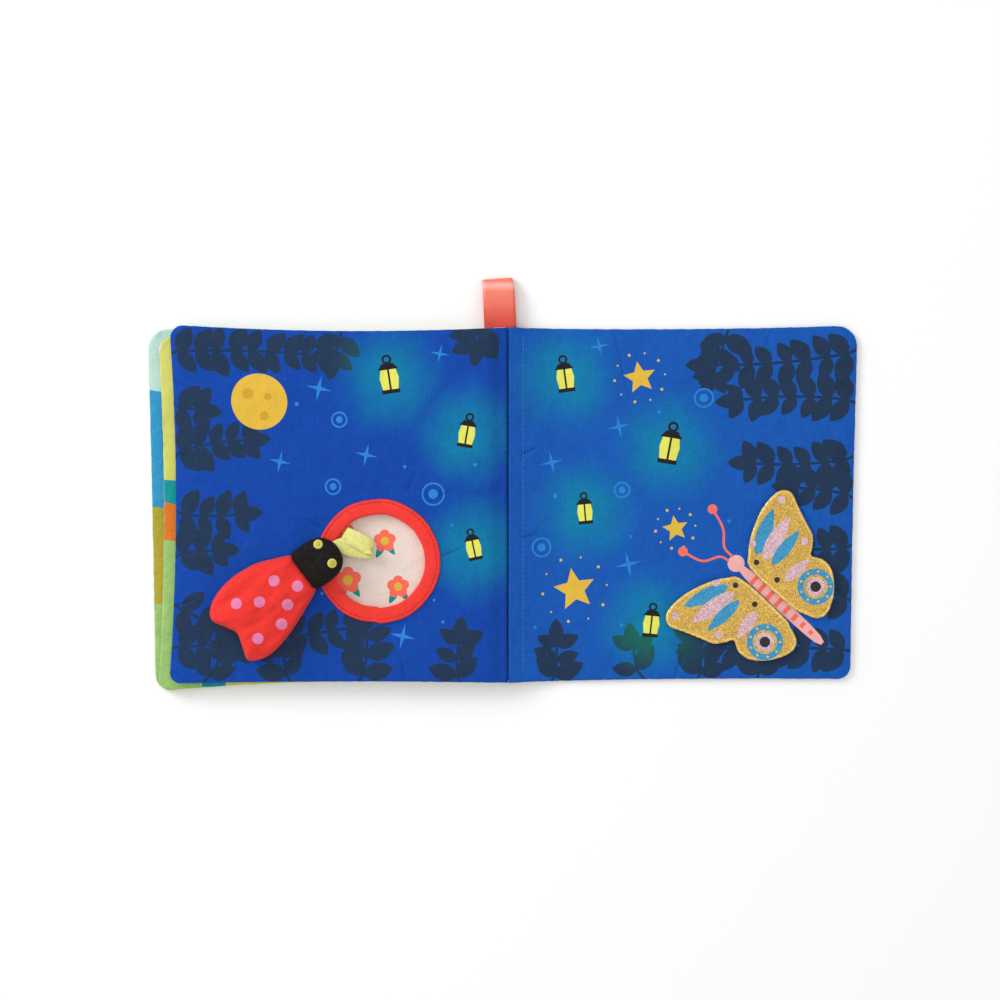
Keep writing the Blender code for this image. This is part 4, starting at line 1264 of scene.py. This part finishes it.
def spotted_cloth():
    look = Look("ladybird_cotton", RED, 0.85, sheen_weight=0.05, specular_ior_level=0.2)
    flat = look.vector("MULTIPLY", look.place, (1, 1, 0))
    spots = [(*toy_place(s * TOY_LENGTH, t * TOY_LENGTH), 0) for s, t in SPOT_SHARES]
    on_top = look.ramp(look.axis("Z"), TOY_BASE + 2 * MM, TOY_BASE + 3 * MM)
    away = look.ramp(look.nearest(spots, flat), SPOT_RADIUS - SPOT_EDGE, SPOT_RADIUS + SPOT_EDGE)
    share = look.math("SUBTRACT", on_top, look.math("MULTIPLY", away, on_top))
    return weave(look, look.mix(share, RED, SPOT_PINK), 0.36, turn=TOY_TURN, scale=1900)


def black_cloth():
    """A rough dark weave with paler flecks along its threads."""
    look = Look("ladybird_black_cotton", BLACK, 0.9, specular_ior_level=0.15)
    flecks = look.math("MAXIMUM", look.noise(1500, (1, 0.25, 1)), look.noise(1500, (0.25, 1, 1)))
    tone = look.mix(look.ramp(flecks, 0.6, 0.85), BLACK, FLECK_GREY)
    return weave(look, tone, 0.8, 0.25 * MM, turn=TOY_TURN)


def ladybird():
    """The stuffed toy: body with its underside, stuffing, head and eyes."""
    body = [
        toy_place(along * TOY_LENGTH, across * TOY_LENGTH)
        for along, across in smooth_route(BODY_OUTLINE_SHARES, 7, closed=True)
    ]
    head = [
        toy_place(-along * TOY_HEAD_LENGTH - 0.25 * TOY_CLOTH, across * TOY_HEAD_LENGTH)
        for along, across in smooth_route(HEAD_OUTLINE_SHARES, 8, closed=True)
    ]
    cloth = stuffed("ladybird_body", body, TOY_BASE, TOY_HEIGHT, spotted_cloth(), BODY_FOLD, 1.7)
    stand_in(cloth, "ladybird", "ladybird_red", "ladybird_body_cloth", "ladybird_underside", fill=0.6)
    inner = [middle_of(body).lerp(point, FILLING_SHARE) for point in body]
    look = filling_look("toy_filling")
    base, height = TOY_BASE + FILLING_LIFT, TOY_HEIGHT - FILLING_LOWER
    filling = stuffed("ladybird_filling", inner, base, height, look, FILLING_FOLD, 4.2)
    stand_in(filling, "ladybird", "wadding", "ladybird_stuffing", fill=0.8)
    crown = stuffed("ladybird_head_cloth", head, TOY_BASE, TOY_HEAD_HEIGHT, black_cloth(), HEAD_FOLD, 8.1)
    stand_in(crown, "ladybird", "ladybird_black", "ladybird_head", fill=0.75)
    for name in ("ladybird_eye_upper", "ladybird_eye_lower"):
        embroidered_eye(name, crown)


EYE_RADIUS = 2.75 * MM
EYE_FORWARD = 1.6 * MM
EYE_ROWS = 9
EYE_THREADS = 72
EYE_LIFT, EYE_HEIGHT, EYE_RIDGE = 0.1 * MM, 0.75 * MM, 0.09 * MM
# A ring-shaped dip: its depth, and shares of the radius for its place and width
EYE_DIP, EYE_DIP_SHARE, EYE_DIP_WIDTH_SHARE = 0.42 * MM, 0.45, 0.12
EYE_UNDER = 0.5 * MM


def embroidered_eye(name, crown):
    """An eye worked in satin stitch, its threads fanned out, lying on the head."""
    low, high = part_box(name)
    centre = (low + high) / 2 + EYE_FORWARD * TOY_FORWARD.to_3d()
    hit, place, normal, _ = crown.ray_cast(centre - RAY_HEIGHT * DOWN, DOWN)
    if not hit:
        place, normal = centre, -DOWN
    side = normal.cross(Vector((0, 1, 0))).normalized()
    up = normal.cross(side)
    loops = []
    for row in range(EYE_ROWS, 0, -1):
        share = row / EYE_ROWS
        ridge = EYE_RIDGE * math.sin(math.pi * share)
        dip = EYE_DIP * math.exp(-(((share - EYE_DIP_SHARE) / EYE_DIP_WIDTH_SHARE) ** 2))
        lift = EYE_HEIGHT * (1 - share**3) - dip + EYE_LIFT
        loop = []
        for i in range(EYE_THREADS):
            turn = math.tau * i / EYE_THREADS
            spot = side * math.cos(turn) + up * math.sin(turn)
            loop.append(place + spot * EYE_RADIUS * share + normal * (lift + (ridge if i % 2 else -ridge)))
        loops.append(loop)
    under = [point - normal * EYE_UNDER for point in loops[0]]
    look = grained(f"{name}_thread", EYE_LIME, 0.55, 2400, 1, (0.72, 1.12), 0.12 * MM, sheen_weight=0.2)
    stand_in(lofted(f"{name}_embroidery", [under, *loops], [look]), "ladybird", "ladybird_eye_lime", name)


# The same route as in the CAD model: shares of the window's radius from its centre, and of the
# toy's height above the leaf; then shares of the ribbon's width ahead of the head and beside it
TETHER_ROUTE_SHARES = (
    (-0.735, 0.585, -0.09), (-0.62, 0.53, 0.04), (-0.44, 0.45, 0.11), (-0.25, 0.34, 0.12),
    (-0.16, 0.26, 0.05), (-0.22, 0.22, -0.01), (-0.42, 0.24, 0.0),
)
TETHER_END_SHARES = ((0.64, 0.5, 0.07), (0.375, 0.156, 0.14))
# The ribbon's last point: how far into the head, as a share of its length, and how much higher
TETHER_DEEPEST_SHARE, TETHER_CLIMB = 0.84, 0.4 * MM
# Directions of the ribbon's width at its ends, and how much faster it turns than it runs
TETHER_TURNS = (math.radians(51), math.radians(118))
TETHER_TURN_SHARE = 1.1
RIBBON_THICKNESS = 0.6 * MM


def tether():
    """The folded ribbon from the window's edge to the toy's head."""
    places = [
        (*(WINDOW_CENTRE + WINDOW_RADIUS * Vector((across, up))), high)
        for across, up, high in TETHER_ROUTE_SHARES
    ]
    for ahead, beside, high in TETHER_END_SHARES:
        along = TOY_HEAD_LENGTH + TOY_CLOTH + ahead * TETHER_WIDTH
        places.append((*toy_place(-along, beside * TETHER_WIDTH), high))
    points = [Vector((x, y, LEFT_TOP + high * TOY_HEIGHT)) for x, y, high in places]
    into_head = (*toy_place(-TETHER_DEEPEST_SHARE * TOY_HEAD_LENGTH, 0), points[-1].z + TETHER_CLIMB)
    route = smooth_route([*points, into_head], 8)
    first, end = TETHER_TURNS
    shares = [min(1, TETHER_TURN_SHARE * i / (len(route) - 1)) for i in range(len(route))]
    sides = [direction(first + (end - first) * share).to_3d() for share in shares]
    look = plain_cloth("lime_ribbon", TETHER_LIME, 0.7, 0.4, 0.4, 0.22 * MM, 1300, sheen_weight=0.2)
    obj = ribbon("tether", route, sides, TETHER_WIDTH, RIBBON_THICKNESS, look)
    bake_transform(obj)
    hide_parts("tether_ribbon")
    flat = (TETHER_CUT_WIDTH, round(route_length(route), 4))


LOOP_WIDTH = 19 * MM
LOOP_MIDDLE = -5.3 * MM
LOOP_LEAN = -0.045
LOOP_TOP = 134.9 * MM
LOOP_LOW, LOOP_FOLD, LOOP_HIGH = 0.6 * MM, 3.4 * MM, 7 * MM
LOOP_TAIL_LEVEL = 4.05 * MM
LOOP_TAIL_HALF_GAP = 0.45 * MM
LOOP_TAIL_EDGE = -1 * MM
LOOP_CORNER = 1.1 * MM
LOOP_CORNER_REACH = 7 * MM
LOOP_TAIL_DEPTH = 9.5 * MM
LOOP_SLANT = 0.07
LOOP_WAVE, LOOP_WAVE_LENGTH, LOOP_WAVE_START = 0.25 * MM, 5 * MM, 8 * MM


def satin(page_top):
    """Ribbed satin, with painted shade that darkens it towards its base at the page and a painted highlight
    in a pale band just below its top fold.
    """
    look = Look("coral_satin", SATIN, 0.34, specular_ior_level=0.7)
    ribs = look.noise(2600, (0.06, 1, 1), detail=1)
    soft = look.noise(90, (0.4, 1, 1), detail=2)
    along = look.axis("Y")
    # Painted shade: the satin is darker towards its base at the page
    tone = look.mix(look.ramp(along, page_top + 3 * MM, LOOP_TOP - 4 * MM), SATIN_PAINTED_SHADE, SATIN)
    # Painted highlight: a pale band just below the loop's top fold
    rise = look.ramp(along, LOOP_TOP - 8 * MM, LOOP_TOP - 4 * MM)
    fall = look.ramp(along, LOOP_TOP - 3.4 * MM, LOOP_TOP - 1.2 * MM)
    painted_highlight = look.math("MULTIPLY", look.math("SUBTRACT", rise, fall, clamp=True), 0.6)
    tone = look.mix(painted_highlight, tone, SATIN_PAINTED_HIGHLIGHT)
    look.paint(look.shade(look.shade(tone, 0.88, 1.1, ribs), 0.86, 1.08, soft))
    look.bump(ribs, 0.08 * MM)
    look.bump(soft, 0.5 * MM)
    return look.material


def hang_loop():
    """The folded satin ribbon at the head of the spine."""
    page_top = LEAF_HEIGHT / 2
    bend = (LOOP_FOLD - LOOP_LOW) / 2
    tail, turn_in = page_top - LOOP_TAIL_DEPTH, LOOP_TOP - bend
    under, over = LOOP_TAIL_LEVEL - LOOP_TAIL_HALF_GAP, LOOP_TAIL_LEVEL + LOOP_TAIL_HALF_GAP
    low = [
        (tail, under), (page_top, under), (page_top + 5 * MM, (LOOP_TAIL_LEVEL + LOOP_LOW) / 2),
        (page_top + 11 * MM, LOOP_LOW), (turn_in, LOOP_LOW),
    ]
    around = [
        (turn_in + bend * math.sin(turn), LOOP_LOW + bend - bend * math.cos(turn))
        for turn in (math.pi / 4, math.pi / 2, 3 * math.pi / 4)
    ]
    high = [
        (turn_in, LOOP_FOLD), (turn_in - 5 * MM, LOOP_FOLD + 2.1 * MM), (page_top + 14 * MM, LOOP_HIGH),
        (page_top + 8 * MM, LOOP_HIGH - 0.7 * MM), (page_top, over), (tail, over),
    ]
    centres = []
    for y, z in smooth_route(low + around + high, 7):
        wave = LOOP_WAVE * math.sin(y / LOOP_WAVE_LENGTH) * smoothstep((y - page_top) / LOOP_WAVE_START)
        lean = LOOP_LEAN * max(0, y - page_top)
        centres.append(Vector((LOOP_MIDDLE + lean, y, z + float(wave))))
    sides = [Vector((1, LOOP_SLANT, 0))] * len(centres)
    obj = ribbon("satin_loop", centres, sides, LOOP_WIDTH, RIBBON_THICKNESS, satin(page_top), columns=12)
    for vertex in obj.data.vertices:
        place = vertex.co
        if place.y < page_top - 0.3 * MM:
            place.x = min(place.x, LOOP_TAIL_EDGE)
        rounded = smoothstep((place.y - LOOP_TOP + LOOP_CORNER_REACH) / LOOP_CORNER_REACH) ** 2
        right = max(0, (place.x - LOOP_MIDDLE) / (LOOP_WIDTH / 2))
        place.x -= float(LOOP_CORNER * rounded) * right
    stand_in(obj, "binding", "coral_satin", "hang_loop")
    flat = (LOOP_WIDTH, round(route_length(centres), 4))


SEAM_MIDDLE = -0.75 * MM
SEAM_HALF = 0.4 * MM
SEAM_LOW, SEAM_HIGH = 0.6 * MM, 8.4 * MM
SEAM_REACH = LEAF_HEIGHT / 2 - 1.4 * MM
SPINE_ROWS = 60
SPINE_REACH = LEAF_HEIGHT / 2 - 4.5 * MM
SPINE_LEFT, SPINE_RIGHT = -15.8 * MM, 10.6 * MM
SPINE_COLUMNS = 34
SPINE_UNDER, SPINE_TOP = 0.05 * MM, 0.5 * MM
# Waves of the cloth and of the seam allowance: depth, length and seed
SPINE_WAVE = (0.06 * MM, 9 * MM, 3)
SEAM_WAVE = (0.15 * MM, 12 * MM, 7)
SPINE_STITCH_OUT = 8.3 * MM
SPINE_STITCH_REACH = LEAF_HEIGHT / 2 - 5.5 * MM
SPINE_STITCH_SEATS = 80
# Length, gap, radius and lift of the stitches, and their level where no cloth is found
SPINE_STITCH = (2.6 * MM, 0.5 * MM, 0.14 * MM, 0.05 * MM)
SPINE_STITCH_LEVEL = 3 * MM


def wavy(reach, depth, pitch, seed):
    """Places up the spine, and how far the cloth strays at each of them."""
    places = [reach * (2 * i / SPINE_ROWS - 1) for i in range(SPINE_ROWS + 1)]
    return [(y, depth * noise.noise(Vector((y / pitch, 0, seed)))) for y in places]


def spine():
    """The cloth over the fold's back, the seam allowance in it, painted dark as shade in the gutter, and the
    running stitch.
    """
    look = plain_cloth("spine_cotton", COVER_YELLOW, 0.88, 0.16)
    rows = wavy(SPINE_REACH, *SPINE_WAVE)
    loops = []
    for x in np.linspace(SPINE_LEFT, SPINE_RIGHT, SPINE_COLUMNS):
        upper = [(x, y, SPINE_TOP + wave) for y, wave in rows]
        loops.append(upper + [(x, y, SPINE_UNDER + wave) for y, wave in rows[::-1]])
    tape = lofted("spine_cloth", loops, [look])
    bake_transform(tape)
    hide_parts("spine_tape")
    loops = []
    levels = np.linspace(SEAM_LOW, SEAM_HIGH, 9)
    for y, lean in wavy(SEAM_REACH, *SEAM_WAVE):
        left = [(SEAM_MIDDLE - SEAM_HALF + lean, y, z) for z in levels]
        loops.append(left + [(SEAM_MIDDLE + SEAM_HALF + lean, y, z) for z in levels[::-1]])
    # The seam allowance is the night cotton painted darker: painted shade that makes the dark line in the
    # gutter
    painted_shade = plain_cloth("seam_painted_shade_cotton", SEAM_PAINTED_SHADE_NAVY, 0.9, specular_ior_level=0.1)
    stand_in(lofted("seam_allowance", loops, [painted_shade]), "binding", "spine_cotton", "spine_tape")
    leaf = bpy.data.objects["back_cover_padded_leaf"]
    seated = []
    for y in np.linspace(SPINE_STITCH_REACH, -SPINE_STITCH_REACH, SPINE_STITCH_SEATS):
        hit, place, _, _ = leaf.ray_cast(Vector((SPINE_STITCH_OUT, y, RAY_HEIGHT)), DOWN)
        seated.append(place if hit else Vector((SPINE_STITCH_OUT, y, SPINE_STITCH_LEVEL)))
    thread = thread_look("spine_thread", STITCH_BLUE)
    row = stitches("spine_stitching", seated, thread, *SPINE_STITCH)
    stand_in(row, "back_cover", "light_thread", "binding_stitch")


# Shares of the wing's length: along the body from the head end, and out from the hinge line
WING_OUTLINE_SHARES = (
    (0.05, 0.0), (-0.09, 0.10), (-0.20, 0.27), (-0.29, 0.53), (-0.29, 0.76), (-0.19, 0.84),
    (-0.03, 0.78), (0.13, 0.72), (0.26, 0.67), (0.34, 0.58), (0.39, 0.51), (0.50, 0.56),
    (0.64, 0.54), (0.79, 0.41), (0.89, 0.22), (0.86, 0.09), (0.72, 0.03), (0.60, 0.0),
)
# Petals of the wing's pattern: where they start and end, their width and whether they are blue
PETAL_SHARES = (
    ((-0.02, 0.14), (-0.21, 0.60), 0.15, True), ((0.07, 0.15), (-0.04, 0.66), 0.16, False),
    ((0.16, 0.17), (0.13, 0.62), 0.12, True), ((0.36, 0.14), (0.40, 0.47), 0.12, False),
)
LILAC_DOT_SHARES = ((-0.21, 0.72), (0.24, 0.57), (-0.13, 0.2))
DARK_DOT_SHARES = ((0.03, 0.09), (0.30, 0.1))
WING_EYE_SHARES = (0.63, 0.31)
RIM_SLOT, LILAC_SLOT, BLUE_SLOT, DARK_SLOT, HEART_SLOT = range(1, 6)
# The eye of the wing's pattern, from outside in: slot, radius and points of each disc
WING_EYE_DISCS = (
    (BLUE_SLOT, 10.8 * MM, 36), (0, 7.2 * MM, 30), (LILAC_SLOT, 5.6 * MM, 26), (DARK_SLOT, 3.2 * MM, 18),
)
HEARTS, HEART_RADIUS, HEARTS_RADIUS = 9, 0.75 * MM, 9 * MM
LILAC_DOT_RADIUS, DARK_DOT_RADIUS = 2.3 * MM, 1.7 * MM
WING_RIM = 1.5 * MM
WING_CLOTH = 0.5 * MM
WING_STEP = 1.3 * MM
BACKING_INSET = 0.3 * MM
# How the wing's cloth lifts away from its hinge: evenly, in waves and their pitch
WING_LIFT, WING_WAVE, WING_WAVE_PITCH = 0.5 * MM, 0.9 * MM, 16 * MM
LEAST_WAVE = -0.4


def glitter(name, colour, metallic=0.5, sparkle=0.46, roughness=0.42):
    """Fabric printed with fine glitter: little flakes, each at its own tilt and shade."""
    look = Look(name, colour, roughness, metallic=metallic)
    flakes = look.node("TexVoronoi", "Color", {"Scale": 2300, "Vector": look.place}, feature="F1")
    shade, rough, tilt = look.node("SeparateColor", 0, {0: flakes}).node.outputs
    shaded = look.shade(colour, 1 - sparkle, 1 + sparkle, shade)
    look.paint(look.shade(shaded, 0.9, 1.1, look.noise(160)))
    look.link(look.spread(rough, roughness - 0.14, roughness + 0.2), look.shader.inputs["Roughness"])
    look.bump(tilt, 0.09 * MM)
    return look.material


def wing_looks():
    return [
        glitter("wing_gold", GOLD),
        glitter("wing_rim_gold", RIM_GOLD, metallic=0.75, sparkle=0.25, roughness=0.3),
        glitter("wing_lilac", LILAC, metallic=0.3),
        glitter("wing_blue", WING_BLUE, metallic=0.3, sparkle=0.35),
        glitter("wing_dark", WING_DARK, metallic=0.3),
        glitter("wing_heart", HEART_GOLD, metallic=0.4),
    ]


def wing_motifs(spot):
    """Petals and rings of a generic wing pattern. spot gives a point from shares of the wing."""
    petals = []
    for start, end, wide, blue in PETAL_SHARES:
        base = spot(start)
        run = spot(end) - base
        petal = lens(base, math.atan2(run.y, run.x), run.length, wide * WING_LENGTH, 12)
        petals.append((BLUE_SLOT if blue else LILAC_SLOT, petal))
    eye = spot(WING_EYE_SHARES)
    return [
        *petals[:3],
        *((LILAC_SLOT, disc(spot(shares), LILAC_DOT_RADIUS, 16)) for shares in LILAC_DOT_SHARES),
        *((DARK_SLOT, disc(spot(shares), DARK_DOT_RADIUS, 14)) for shares in DARK_DOT_SHARES),
        petals[3],
        *((slot, disc(eye, radius, count)) for slot, radius, count in WING_EYE_DISCS),
        *((HEART_SLOT, disc(centre, HEART_RADIUS, 8)) for centre in disc(eye, HEARTS_RADIUS, HEARTS)),
    ]


def drawn_in(outline, inset):
    made = []
    for i, point in enumerate(outline):
        run = outline[(i + 1) % len(outline)] - outline[i - 1]
        made.append(point + Vector((-run.y, run.x)).normalized() * inset)
    return made


def wing_sheet(name, outline, motifs, looks, bottom, lift):
    """A thin cloth over an outline, its upper and lower faces joined round the edge."""
    net, faces, slots = net_over(outline, [], motifs, grid(*extent(outline), WING_STEP))
    level = bottom + np.array([lift(x, y) for x, y in net])
    points, both = two_sided(net, faces, *net.T, level + WING_CLOTH, level)
    edges = dict.fromkeys(edge for face in faces for edge in zip(face, face[1:] + face[:1]))
    count = len(net)
    rims = [[b, a, count + a, count + b] for a, b in edges if (b, a) not in edges]
    rim_slot = RIM_SLOT if motifs else 0
    return add_mesh(name, points, both + rims, looks, slots + slots + [rim_slot] * len(rims))


def wings():
    """The butterfly's two fabric wings, each a glittering face on a plain backing."""
    looks = wing_looks()
    back = plain_cloth("wing_backing_cotton", WING_BACK, 0.88)
    for body, mirror in (("upper_wing", 1), ("lower_wing", -1)):
        out = WING_OUT * mirror

        def spot(shares):
            s, t = shares
            return WING_HEAD + WING_ALONG * (s * WING_LENGTH) + out * (WING_HINGE_OFFSET + t * WING_LENGTH)

        def lift(x, y):
            away = max(0, (Vector((x, y)) - WING_HEAD).dot(out) - WING_HINGE_OFFSET) / WING_LENGTH
            wave = noise.noise(Vector((x / WING_WAVE_PITCH, y / WING_WAVE_PITCH, 3 + mirror)))
            return away * (WING_LIFT + WING_WAVE * max(LEAST_WAVE, wave))

        outline = turned_left([spot(shares) for shares in smooth_route(WING_OUTLINE_SHARES, 5, closed=True)])
        motifs = [(RIM_SLOT, outline), (0, drawn_in(outline, WING_RIM)), *wing_motifs(spot)]
        for kind, made_looks, made_motifs, slot, shape in (
            ("backing", [back], [], "wing_backing", drawn_in(outline, BACKING_INSET)),
            ("face", looks, motifs, "gold_fabric", outline),
        ):
            node = f"{body}_{kind}"
            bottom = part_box(node)[0].z
            piece = wing_sheet(f"{node}_cloth", shape, made_motifs, made_looks, bottom, lift)
            stand_in(piece, body, slot, node)
            low, high = extent(shape)
            area = signed_area(shape)


FILLING_HOLE = 51 * MM
FILLING_STEP = 4 * MM
FILLING_CORNER = 5 * MM
FILM_LIFT, FILM_CRUMPLE, FILM_PITCH = 0.5 * MM, 0.09 * MM, 9 * MM
PAD_HALF = 0.45 * MM
PAD_ROUND = 6 * MM
PAD_DROP = 0.15 * MM
PAD_UNEVEN_SHARE = 0.1


def filling_outline():
    """The flat outline of the film and wadding inside a leaf."""
    left, right = SPINE_MARGIN + WADDING_INSET + FILLING_CORNER, LEAF_WIDTH - WADDING_INSET - FILLING_CORNER
    top = LEAF_HEIGHT / 2 - WADDING_INSET - FILLING_CORNER
    points = []
    for first, corner in enumerate(((right, -top), (right, top), (left, top), (left, -top)), -1):
        turns = [math.pi / 2 * (first + i / 4) for i in range(5)]
        points += [Vector(corner) + FILLING_CORNER * direction(turn) for turn in turns]
    return points


def fillings():
    """The crackling film and the wadding between each leaf's two cloths."""
    film = grained("crinkle_film", FILM_GREY, 0.22, 120, 5, (0.9, 1.05), 1.2 * MM, specular_ior_level=0.6)
    fluff = filling_look("wadding")
    outline = filling_outline()
    low, high = extent(outline)
    for name, leaf in LEAVES.items():
        holed = name == "window_leaf"
        holes = [disc(WINDOW_IN_LEAF, FILLING_HOLE, 60)] if holed else []
        spots = [
            point for point in grid(low, high, FILLING_STEP)
            if not holed or (point - WINDOW_IN_LEAF).length > FILLING_HOLE
        ]
        net, faces, _ = net_over(outline, holes, [], spots)
        x, y = leaf_place(leaf, *net.T)
        rough = noise_of(np.column_stack((net / FILM_PITCH, np.full(len(net), leaf.start * NET_UNIT))))
        level = middle_line(leaf, net[:, 0])[1]
        film_points = np.column_stack((x, y, level + FILM_LIFT + FILM_CRUMPLE * rough))
        sheet = add_mesh(f"{name}_film", film_points, faces, [film])
        stand_in(sheet, leaf.body, "crinkle_film", f"{name}_crinkle_film")
        inset = np.minimum(edge_inset(leaf, *net.T), net[:, 0] - SPINE_MARGIN) - WADDING_INSET
        if holed:
            inset = np.minimum(inset, np.hypot(*(net - np.array(WINDOW_IN_LEAF)).T) - FILLING_HOLE)
        uneven = 1 - PAD_UNEVEN_SHARE + PAD_UNEVEN_SHARE * rough
        swell = np.sqrt(1 - (1 - np.clip(inset / PAD_ROUND, 0, 1)) ** 2) * uneven
        centre = level - PAD_DROP
        points, both = two_sided(net, faces, x, y, centre + PAD_HALF * swell, centre - PAD_HALF * swell)
        pad = closed_up(add_mesh(f"{name}_wadding_pad", points, both, [fluff]), weld=True)
        stand_in(pad, leaf.body, "wadding", f"{name}_wadding", fill=0.3)


CAMERA_LENS = 100
CAMERA_SENSOR = 36
FRAME_WIDTH = 0.595
FRAME_CENTRE = (-0.0055, 0.0030)
PAGE_LEVEL = 0.008
FLOOR_REACH = 6
FLOOR_LEVEL = -0.0003
WORLD_STRENGTH = 0.7
# Name, place, size and power of each lamp, which points at the middle of the book
LAMPS = (
    ("key", (-1.5, 1.0, 1.0), 1.0, 20),
    ("fill", (-0.2, 0.2, 2.3), 1.8, 7.8),
)


def stage_and_camera():
    """The floor, soft studio light and a camera straight over the book."""
    scene = bpy.context.scene
    camera = bpy.data.objects.new("camera", bpy.data.cameras.new("camera"))
    camera.data.lens = CAMERA_LENS
    camera.data.sensor_width = CAMERA_SENSOR
    distance = FRAME_WIDTH * CAMERA_LENS / CAMERA_SENSOR
    camera.location = (*FRAME_CENTRE, PAGE_LEVEL + distance)
    scene.collection.objects.link(camera)
    scene.camera = camera
    floor_look = Look("floor", (1, 1, 1), 0.95, specular_ior_level=0)
    sides = ((-1, -1), (1, -1), (1, 1), (-1, 1))
    corners = [(x * FLOOR_REACH, y * FLOOR_REACH, FLOOR_LEVEL) for x, y in sides]
    add_mesh("floor", corners, [(0, 1, 2, 3)], [floor_look.material])
    scene.world = bpy.data.worlds.new("studio")
    scene.world.use_nodes = True
    inputs = scene.world.node_tree.nodes["Background"].inputs
    inputs["Color"].default_value = (1, 1, 1, 1)
    inputs["Strength"].default_value = WORLD_STRENGTH
    for name, place, size, power in LAMPS:
        lamp = bpy.data.lights.new(name, "AREA")
        lamp.shape = "DISK"
        lamp.size = size
        lamp.energy = power
        obj = bpy.data.objects.new(name, lamp)
        obj.location = place
        obj.rotation_euler = (-Vector(place)).to_track_quat("-Z", "Y").to_euler()
        scene.collection.objects.link(obj)
    scene.view_settings.view_transform = "Standard"


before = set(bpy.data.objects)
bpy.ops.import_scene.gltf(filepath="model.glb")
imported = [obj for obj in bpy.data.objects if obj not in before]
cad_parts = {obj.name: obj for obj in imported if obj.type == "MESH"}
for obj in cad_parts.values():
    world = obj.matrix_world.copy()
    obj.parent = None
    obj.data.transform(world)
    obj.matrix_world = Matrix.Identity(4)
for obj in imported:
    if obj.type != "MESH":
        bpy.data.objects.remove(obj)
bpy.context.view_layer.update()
stage_and_camera()
for leaf_name, (upper_print, lower_print) in leaf_prints().items():
    cloths = (f"{leaf_name}_upper_cloth", f"{leaf_name}_lower_cloth")
    padded = padded_leaf(leaf_name, upper_print, lower_print)
    stand_in(padded, LEAVES[leaf_name].body, "printed_cotton", *cloths, fill=0.45)
fillings()
window_ring()
ladybird()
tether()
hang_loop()
spine()
wings()
